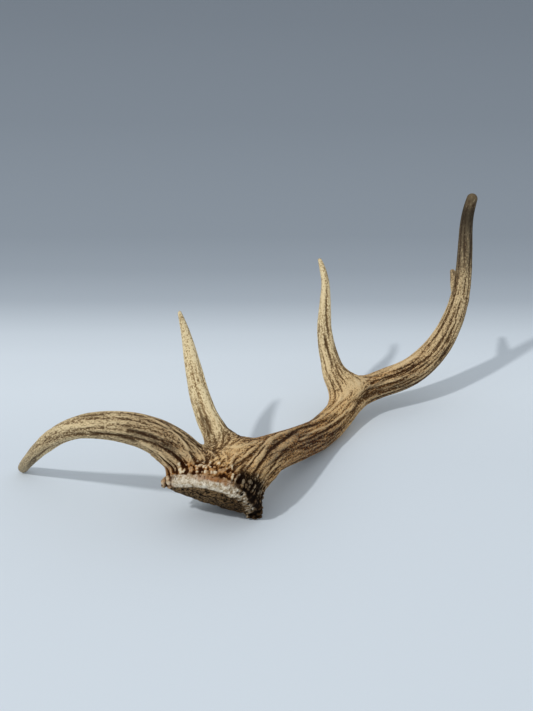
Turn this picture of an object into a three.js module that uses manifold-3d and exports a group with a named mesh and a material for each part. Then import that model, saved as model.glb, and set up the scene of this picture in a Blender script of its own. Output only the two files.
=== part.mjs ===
// Shed antler of a red-deer / elk type stag, lying on a table.
// Millimetres, +Z up, the table is z = 0. The bone grew as one piece; it is split
// at its main forks into the burr end with the lower beam, the brow, bez and trez
// tines, and the upper beam.
import * as THREE from 'three';
import { mergeVertices } from 'three/addons/utils/BufferGeometryUtils.js';
import Module from 'manifold-3d';

// ---------------------------------------------------------------- dimensions
const GAP = 0.3;                       // slit left at each fork
const ORIGIN = [-1.507, 151.084, 0];   // moves the centre of the footprint to 0,0

// centre lines: x, y, z, radius, in growing order (root first, tip last)
const BEAM = [
  [-29.4, -1.5, 36.5, 28.5], [-17.7, 7.4, 43.1, 26.6], [-6.8, 19.0, 45.5, 24.0],
  [3.6, 31.9, 44.5, 21.7], [13.4, 46.6, 41.3, 20.0], [22.9, 61.7, 36.7, 19.0],
  [32.0, 76.6, 31.7, 18.3], [40.9, 91.2, 27.0, 17.8], [49.7, 105.7, 22.9, 17.5],
  [58.4, 120.4, 19.4, 17.3], [67.3, 135.5, 17.2, 17.3], [76.4, 151.4, 16.9, 17.4],
  [85.8, 167.6, 18.2, 17.5], [96.0, 182.8, 21.2, 17.4], [107.2, 195.5, 25.0, 17.0],
  [119.9, 205.3, 28.7, 16.3], [134.3, 213.1, 31.8, 15.6], [150.0, 220.3, 34.8, 15.4],
  [165.7, 228.0, 38.5, 15.4], [180.2, 236.2, 44.2, 15.3], [193.0, 244.5, 52.5, 14.9],
  [204.0, 252.6, 63.0, 14.1], [213.1, 260.1, 75.6, 13.1], [220.3, 266.6, 89.9, 12.0],
  [225.5, 272.0, 105.6, 10.9], [228.6, 275.7, 122.6, 10.0], [229.6, 277.6, 140.6, 9.2],
  [229.3, 278.1, 159.0, 8.6], [228.5, 277.5, 177.6, 8.1], [228.1, 276.6, 195.8, 7.5],
  [229.1, 275.9, 213.2, 6.7], [232.4, 275.9, 229.5, 5.6],
];
const BROW = [
  [-53.0, 4.0, 40.0, 17.0], [-60.6, 3.9, 47.5, 19.6], [-66.6, 3.9, 60.1, 19.3],
  [-75.8, 2.6, 73.2, 17.9], [-87.9, 0.0, 84.5, 16.6], [-102.1, -3.4, 93.5, 15.3],
  [-117.5, -6.8, 99.7, 14.0], [-132.9, -8.4, 102.4, 12.8], [-147.1, -6.5, 101.3, 11.7],
  [-160.0, -1.5, 96.8, 10.7], [-171.7, 5.7, 89.6, 9.8], [-182.3, 14.3, 80.6, 9.0],
  [-191.9, 23.5, 70.5, 8.3], [-200.7, 33.1, 59.6, 7.7], [-208.8, 42.9, 48.4, 7.1],
  [-216.4, 52.8, 37.1, 6.7], [-223.4, 62.6, 26.1, 6.3], [-230.2, 72.2, 15.4, 6.0],
  [-236.4, 81.0, 5.1, 5.6],
];
const BEZ = [
  [-32.0, 14.0, 44.0, 18.0], [-32.5, 22.0, 53.5, 16.4], [-38.4, 36.8, 67.0, 13.4],
  [-45.1, 48.3, 74.7, 11.9], [-50.7, 61.0, 81.5, 10.8], [-55.3, 74.5, 88.1, 9.9],
  [-59.2, 88.2, 95.1, 9.1], [-62.6, 101.3, 102.8, 8.3], [-65.7, 113.2, 111.6, 7.3],
  [-68.7, 123.5, 122.2, 6.0], [-71.9, 131.3, 134.8, 4.3], [-75.2, 135.8, 148.2, 2.1],
];
const TREZ = [
  [104.0, 192.5, 26.0, 17.0], [94.4, 194.5, 40.5, 16.2], [84.8, 200.2, 52.1, 13.4],
  [78.5, 208.5, 63.1, 11.3], [74.9, 218.4, 73.9, 9.8], [73.3, 229.0, 84.8, 8.7],
  [73.0, 239.4, 96.2, 7.9], [73.4, 248.8, 108.3, 7.2], [73.7, 257.7, 120.6, 6.4],
  [73.4, 266.8, 132.6, 5.4], [71.8, 276.9, 143.5, 4.0], [68.4, 286.5, 151.2, 2.2],
];
const SPUR = [
  [228.0, 274.0, 109.0, 9.5], [228.0, 288.0, 111.5, 8.6], [228.3, 301.0, 114.5, 7.2],
  [228.6, 314.0, 117.2, 5.6], [228.9, 326.5, 119.6, 4.4],
];

// webs: the bone that fills the crotch of each fork
const WEBS = [
  // between the bez tine and the beam
  [[-44.5, 48.0, 74.0, 8.5], [-36.0, 42.5, 65.0, 9.0], [-24.0, 38.0, 56.5, 10.2],
    [-9.0, 36.5, 49.5, 12.3], [6.0, 43.0, 45.0, 14.8], [18.0, 55.0, 39.5, 16.2]],
  // between the bez and the brow tine
  [[-42.5, 41.0, 68.0, 9.0], [-43.0, 30.0, 60.5, 10.0], [-49.0, 18.0, 58.0, 12.0],
    [-59.0, 8.0, 60.0, 14.0]],
  // between the trez tine and the upper beam
  [[75.0, 222.0, 78.0, 7.4], [80.5, 213.5, 65.0, 8.8], [91.0, 208.0, 53.0, 10.2],
    [106.0, 206.5, 42.5, 12.4], [124.0, 210.5, 36.0, 14.4]],
  // between the trez tine and the lower beam
  [[76.8, 216.0, 71.0, 8.8], [80.0, 205.0, 57.5, 10.3], [85.5, 192.0, 43.0, 12.6],
    [86.0, 176.0, 30.0, 15.0]],
  // between the burr's heavy pearl and the beam
  [[-2.0, 0.0, 10.0, 6.0], [-1.0, 3.0, 14.0, 6.0], [1.0, 10.0, 22.0, 6.5],
    [6.0, 24.0, 33.0, 12.5]],
];

// burr: an oval plate square to the growing axis of the base
const BURR_CENTRE = [-41.5, -4.2, 24.6];
const BURR_LONG = [0.9192, 0.0660, -0.3882];   // along the long radius
const BURR_SHORT = [-0.2565, 0.8488, -0.4627]; // along the short radius, away and down
const BURR_AXIS = [0.2990, 0.5249, 0.7970];    // from the seal into the bone
const BURR_R_LONG = 50.5, BURR_R_SHORT = 40.5;
const BURR_ARCH = 13.5, BURR_BACK_ARCH = 2;       // how far the near and far edges climb up the base
// seal, edge and base in section: fraction of the burr's radius, height along the
// axis, and how much of the arch that ring follows
const BURR_SECTION = [
  [0, -6.3, 0.10], [0.28, -6.2, 0.16], [0.50, -6.0, 0.32], [0.66, -5.6, 0.58],
  [0.78, -4.4, 0.76], [0.92, -2.2, 0.86], [1.0, 1.2, 0.96], [0.99, 4.6, 1.0],
  [0.93, 8.6, 1.0], [0.84, 12.5, 0.92], [0.77, 18.0, 0.72], [0.71, 25.0, 0.48],
  [0.61, 33.0, 0.24], [0.42, 41.0, 0.08], [0, 46.0, 0],
];
const RIGHT_KNOB = [-2.6, -2.2, 6.2, 7.2];     // a heavy pearl that bears on the table

// forks: a slit of GAP width square to each tine at its root
const FORKS = [
  { name: 'brow_tine', at: [-75.8, 2.6, 73.2], dir: [-0.60, -0.10, 0.79], reach: 27 },
  { name: 'bez_tine', at: [-40.6, 41.0, 69.8], dir: [-0.42, 0.74, 0.52], reach: 22 },
  { name: 'trez_tine', at: [84.2, 200.9, 53.2], dir: [-0.50, 0.50, 0.71], reach: 34 },
  { name: 'upper_beam', at: [131.0, 211.4, 31.1], dir: [0.87, 0.46, 0.18], reach: 24 },
];

const BEAM_SIDES = 20, BEAM_STEP = 9;
const TINE_SIDES = 16, TINE_STEP = 9;
const WEB_SIDES = 14, WEB_STEP = 9;
const BURR_SIDES = 40;

// ------------------------------------------------------------------ geometry
const wasm = await Module();
wasm.setup();

function toManifold(geometry) {
  const g = geometry.clone();
  g.deleteAttribute('normal');
  g.deleteAttribute('uv');
  const m = mergeVertices(g, 1e-4);
  const idx = m.index.array, tri = [];
  for (let i = 0; i < idx.length; i += 3) {
    const [a, b, c] = [idx[i], idx[i + 1], idx[i + 2]];
    if (a !== b && b !== c && c !== a) tri.push(a, b, c);
  }
  return new wasm.Manifold(new wasm.Mesh({
    numProp: 3,
    vertProperties: new Float32Array(m.attributes.position.array),
    triVerts: new Uint32Array(tri),
  }));
}

// a horn: a turned spindle of the given radii, bent along its centre line
function horn(stations, sides, step) {
  const pts = stations.map(([x, y, z]) => new THREE.Vector3(x, y, z));
  const curve = new THREE.CatmullRomCurve3(pts, false, 'centripetal');
  curve.arcLengthDivisions = 600;
  const length = curve.getLength();
  // station positions along the curve, for the radius
  const lengths = curve.getLengths(600);
  const at = stations.map((_, i) => lengths[Math.round((i / (stations.length - 1)) * 600)]);
  const radius = (s) => {
    let i = 0;
    while (i < at.length - 2 && s > at[i + 1]) i++;
    const t = Math.min(1, Math.max(0, (s - at[i]) / (at[i + 1] - at[i])));
    return stations[i][3] * (1 - t) + stations[i + 1][3] * t;
  };
  const tip = stations[stations.length - 1][3];
  const profile = [new THREE.Vector2(0, 0)];
  const n = Math.max(3, Math.round(length / step));
  for (let i = 0; i <= n; i++) {
    const s = (length * i) / n;
    profile.push(new THREE.Vector2(radius(s), s));
  }
  for (const a of [35, 62]) {
    const r = THREE.MathUtils.degToRad(a);
    profile.push(new THREE.Vector2(tip * Math.cos(r), length + tip * Math.sin(r)));
  }
  profile.push(new THREE.Vector2(0, length + tip));
  const g = new THREE.LatheGeometry(profile, sides);
  const frames = curve.computeFrenetFrames(400, false);
  const p = g.attributes.position, v = new THREE.Vector3();
  for (let i = 0; i < p.count; i++) {
    v.fromBufferAttribute(p, i);
    const s = v.y, u = Math.min(1, s / length);
    const k = Math.round(u * 400);
    const c = curve.getPointAt(u);
    c.addScaledVector(frames.normals[k], v.x);
    c.addScaledVector(frames.binormals[k], v.z);
    if (s > length) c.addScaledVector(frames.tangents[400], s - length);
    p.setXYZ(i, c.x, c.y, c.z);
  }
  return outward(g);
}

// turns the faces out if the bend left them pointing in
function outward(g) {
  let vol = 0;
  const p = g.attributes.position, idx = g.index.array;
  const a = new THREE.Vector3(), b = new THREE.Vector3(), c = new THREE.Vector3();
  for (let i = 0; i < idx.length; i += 3) {
    a.fromBufferAttribute(p, idx[i]);
    b.fromBufferAttribute(p, idx[i + 1]);
    c.fromBufferAttribute(p, idx[i + 2]);
    vol += a.dot(b.cross(c));
  }
  if (vol < 0) for (let i = 0; i < idx.length; i += 3) [idx[i], idx[i + 1]] = [idx[i + 1], idx[i]];
  return g;
}

// the burr end: a turned section made oval, its near edge arched up the base
function burr() {
  const profile = BURR_SECTION.map(([r, h]) => new THREE.Vector2(r, h));
  const g = new THREE.LatheGeometry(profile, BURR_SIDES);
  const c = new THREE.Vector3(...BURR_CENTRE), l = new THREE.Vector3(...BURR_LONG);
  const s = new THREE.Vector3(...BURR_SHORT), a = new THREE.Vector3(...BURR_AXIS);
  const p = g.attributes.position;
  const rings = BURR_SECTION.length;
  for (let i = 0; i < p.count; i++) {
    const row = i % rings, [r, h, follow] = BURR_SECTION[row];
    const x = p.getX(i), z = p.getZ(i);
    const near = r > 0 ? Math.max(0, -z / r) : 0;
    const far = r > 0 ? Math.max(0, z / r) : 0;
    const lift = follow * (BURR_ARCH * Math.pow(near, 1.5) + BURR_BACK_ARCH * far);
    const q = c.clone().addScaledVector(l, x * BURR_R_LONG)
      .addScaledVector(s, z * BURR_R_SHORT).addScaledVector(a, h + lift);
    p.setXYZ(i, q.x, q.y, q.z);
  }
  return outward(g);
}

// a box laid square to a direction
function slab(at, dir, width, depth) {
  const g = new THREE.BoxGeometry(width, width, depth);
  const q = new THREE.Quaternion().setFromUnitVectors(
    new THREE.Vector3(0, 0, 1), new THREE.Vector3(...dir).normalize());
  g.applyQuaternion(q);
  g.translate(...at);
  return toManifold(g);
}

let bone = toManifold(burr());
bone = bone.add(toManifold(horn(BEAM, BEAM_SIDES, BEAM_STEP)));
bone = bone.add(toManifold(horn(BROW, TINE_SIDES + 2, TINE_STEP)));
bone = bone.add(toManifold(horn(BEZ, TINE_SIDES, TINE_STEP)));
bone = bone.add(toManifold(horn(TREZ, TINE_SIDES, TINE_STEP)));
bone = bone.add(toManifold(horn(SPUR, 12, 8)));
for (const web of WEBS) bone = bone.add(toManifold(horn(web, WEB_SIDES, WEB_STEP)));
const knob = new THREE.SphereGeometry(RIGHT_KNOB[3], 14, 10);
knob.translate(RIGHT_KNOB[0], RIGHT_KNOB[1], RIGHT_KNOB[2]);
bone = bone.add(toManifold(knob));

// worn flat where it bears on the table
const table = new THREE.BoxGeometry(900, 900, 40);
table.translate(0, 100, -20);
bone = bone.subtract(toManifold(table));

// slits at the forks, then the separate branches
for (const f of FORKS) bone = bone.subtract(slab(f.at, f.dir, f.reach * 2, GAP));
const parts = bone.decompose().filter((m) => m.volume() > 50);

const material = (color, roughness) =>
  new THREE.MeshStandardMaterial({ color, roughness, metalness: 0 });
const LOOK = {
  lower_beam: material(0x84684a, 0.72),
  brow_tine: material(0x8c7757, 0.66),
  bez_tine: material(0xb09a74, 0.6),
  trez_tine: material(0xae9871, 0.6),
  upper_beam: material(0x8f7653, 0.66),
};

// a branch is the part that holds a point just past its own slit
function holds(part, point) {
  const probe = new THREE.SphereGeometry(1.5, 8, 6);
  probe.translate(...point);
  return part.intersect(toManifold(probe)).volume() > 1;
}

const antler = new THREE.Group();
antler.name = 'antler';
const used = new Set();
function addMesh(name, part) {
  const m = part.getMesh();
  const g = new THREE.BufferGeometry();
  const pos = new Float32Array(m.vertProperties.length);
  for (let i = 0; i < pos.length; i += 3) {
    for (let k = 0; k < 3; k++) pos[i + k] = m.vertProperties[i + k] - ORIGIN[k];
  }
  g.setAttribute('position', new THREE.BufferAttribute(pos, 3));
  g.setIndex(new THREE.BufferAttribute(new Uint32Array(m.triVerts), 1));
  g.computeVertexNormals();
  const mesh = new THREE.Mesh(g, LOOK[name]);
  mesh.name = name;
  antler.add(mesh);
}
for (const f of FORKS) {
  const d = new THREE.Vector3(...f.dir).normalize();
  const point = f.at.map((v, k) => v + d.getComponent(k) * 4);
  const part = parts.find((m) => !used.has(m) && holds(m, point));
  used.add(part);
  addMesh(f.name, part);
}
addMesh('lower_beam', parts.find((m) => !used.has(m)));

export default antler;
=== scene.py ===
import math
import bpy
import numpy as np
from mathutils import Matrix, Vector


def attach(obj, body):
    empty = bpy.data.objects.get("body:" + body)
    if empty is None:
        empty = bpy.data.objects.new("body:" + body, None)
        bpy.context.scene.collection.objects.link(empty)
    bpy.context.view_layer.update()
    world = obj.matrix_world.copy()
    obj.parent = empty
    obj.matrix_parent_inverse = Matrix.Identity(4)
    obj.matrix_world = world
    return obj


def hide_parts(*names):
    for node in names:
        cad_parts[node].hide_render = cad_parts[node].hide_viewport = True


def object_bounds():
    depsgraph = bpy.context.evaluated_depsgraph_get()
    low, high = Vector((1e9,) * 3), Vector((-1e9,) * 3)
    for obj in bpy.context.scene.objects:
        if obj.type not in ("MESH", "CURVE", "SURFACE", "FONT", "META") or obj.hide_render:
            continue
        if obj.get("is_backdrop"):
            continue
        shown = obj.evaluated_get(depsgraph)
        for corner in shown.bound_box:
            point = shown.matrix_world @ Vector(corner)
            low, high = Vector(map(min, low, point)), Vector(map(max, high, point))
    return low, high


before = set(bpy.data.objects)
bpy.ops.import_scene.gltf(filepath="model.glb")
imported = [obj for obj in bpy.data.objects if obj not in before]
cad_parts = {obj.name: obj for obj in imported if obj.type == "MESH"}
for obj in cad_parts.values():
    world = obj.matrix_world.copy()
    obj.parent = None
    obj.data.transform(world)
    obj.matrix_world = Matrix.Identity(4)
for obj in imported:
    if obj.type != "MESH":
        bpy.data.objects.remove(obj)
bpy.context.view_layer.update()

VOXEL = 0.87        # mm, size of the visual mesh's faces
GRID = 2.5                            # mm, coarse grid for the blended shape and the grain direction
ORIGIN = np.array([-1.507, 151.084, 0.0])
rng = np.random.RandomState(11)

# ------------------------------------------------------------------ camera
CAM = (np.array([8.938, -846.482, 562.379]) - ORIGIN) * 0.001
cam_data = bpy.data.cameras.new("camera")
cam_data.sensor_fit = "HORIZONTAL"
cam_data.sensor_width = 36.0
cam_data.lens = 36.0 * 1068.0 / 533.0
cam_data.clip_start = 0.01
cam_data.clip_end = 200.0
cam = bpy.data.objects.new("camera", cam_data)
cam.location = CAM
cam.rotation_euler = (math.radians(65.0), 0.0, 0.0)
bpy.context.scene.collection.objects.link(cam)
bpy.context.scene.camera = cam

# ------------------------------------------------- centre lines, as in the CAD
BEAM = [
    [-29.4, -1.5, 36.5, 28.5], [-17.7, 7.4, 43.1, 26.6], [-6.8, 19.0, 45.1, 23.3],
    [3.6, 31.9, 43.9, 20.8], [13.4, 46.6, 40.8, 19.1], [22.9, 61.7, 36.5, 18.0],
    [32.0, 76.6, 31.7, 17.5], [40.9, 91.2, 27.0, 16.9], [49.7, 105.7, 22.9, 16.5],
    [58.4, 120.4, 18.9, 16.3], [67.3, 135.5, 16.3, 16.2], [76.4, 151.4, 16.0, 16.2],
    [85.8, 167.6, 17.6, 16.0], [96.0, 182.8, 22.2, 15.0], [107.2, 195.5, 26.8, 14.0],
    [119.9, 205.3, 30.1, 14.3], [134.3, 213.1, 32.4, 14.7], [150.0, 220.3, 34.8, 15.4],
    [165.7, 228.0, 38.5, 15.4], [180.2, 236.2, 44.2, 15.3], [193.0, 244.5, 52.5, 14.9],
    [204.0, 252.6, 63.0, 14.1], [213.1, 260.1, 75.6, 13.1], [220.3, 266.6, 89.9, 12.0],
    [225.5, 272.0, 105.6, 10.9], [228.6, 275.7, 122.6, 10.0], [229.6, 277.6, 140.6, 9.2],
    [229.3, 278.1, 159.0, 8.6], [228.5, 277.5, 177.6, 8.1], [228.1, 276.6, 195.8, 7.4],
    [229.4, 275.9, 213.2, 6.7], [232.0, 275.9, 226.6, 6.1],
]
BROW = [
    [-53.0, 4.0, 40.0, 17.0], [-60.6, 3.9, 47.5, 19.6], [-66.6, 3.9, 60.1, 19.3],
    [-75.8, 2.6, 73.2, 17.9], [-87.9, 0.0, 84.5, 16.6], [-102.1, -3.4, 93.5, 15.3],
    [-117.5, -6.8, 99.7, 14.0], [-132.9, -8.4, 102.4, 12.8], [-147.1, -6.5, 101.3, 11.7],
    [-160.0, -1.5, 96.8, 10.7], [-171.7, 5.7, 89.6, 9.8], [-182.3, 14.3, 80.6, 9.0],
    [-191.9, 23.5, 70.5, 8.3], [-200.7, 33.1, 59.6, 7.7], [-208.8, 42.9, 48.4, 7.1],
    [-216.4, 52.8, 37.1, 6.6], [-223.4, 62.6, 26.1, 6.2], [-230.2, 72.2, 15.4, 5.8],
    [-235.8, 80.2, 6.0, 5.4],
]
BEZ = [
    [-32.0, 14.0, 44.0, 18.0], [-32.5, 22.0, 53.5, 16.4], [-38.2, 36.8, 67.0, 12.4],
    [-45.0, 48.3, 74.7, 11.1], [-50.7, 61.0, 81.5, 10.3], [-55.3, 74.5, 88.1, 9.9],
    [-59.2, 88.2, 95.1, 9.1], [-62.6, 101.3, 102.8, 8.3], [-65.7, 113.2, 111.6, 7.3],
    [-68.7, 123.5, 122.2, 6.0], [-72.6, 131.4, 135.4, 4.3], [-77.8, 136.0, 151.5, 2.1],
]
TREZ = [
    [104.0, 192.5, 26.0, 14.0], [92.6, 194.5, 40.5, 15.8], [83.8, 200.2, 52.1, 13.4],
    [79.2, 208.5, 63.1, 10.9], [75.8, 218.4, 73.9, 9.5], [73.9, 229.0, 84.8, 8.6],
    [73.0, 239.4, 96.2, 7.7], [73.5, 248.8, 108.3, 6.8], [74.2, 257.7, 120.6, 5.7],
    [74.5, 266.8, 132.6, 4.5], [72.0, 277.3, 144.3, 3.5], [68.4, 288.0, 153.6, 1.9],
]
SPUR = [
    [227.4, 275.5, 109.0, 6.8], [227.2, 288.0, 112.0, 6.9], [227.0, 301.0, 115.5, 6.2],
    [226.8, 314.0, 120.0, 4.8], [226.4, 326.0, 123.6, 3.3],
]
HEEL = [[-2.0, 0.0, 10.0, 5.0], [-1.0, 3.0, 14.0, 5.4], [1.0, 10.0, 22.0, 6.2], [6.0, 24.0, 33.0, 12.0]]

C0 = np.array([-41.5, -4.2, 24.6])
EL = np.array([0.9192, 0.0660, -0.3882])
ES = np.array([-0.2565, 0.8488, -0.4627])
EA = np.array([0.2990, 0.5249, 0.7970])
R_LONG, R_SHORT = 50.5, 40.5
ARCH, BACK_ARCH = 13.5, 2.0

FORKS = [
    ("brow_tine", (-75.8, 2.6, 73.2), (-0.60, -0.10, 0.79), 30.0),
    ("bez_tine", (-40.6, 41.0, 69.8), (-0.42, 0.74, 0.52), 26.0),
    ("trez_tine", (84.2, 200.9, 53.2), (-0.50, 0.50, 0.71), 36.0),
    ("upper_beam", (131.0, 211.4, 31.1), (0.87, 0.46, 0.18), 30.0),
]


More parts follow.
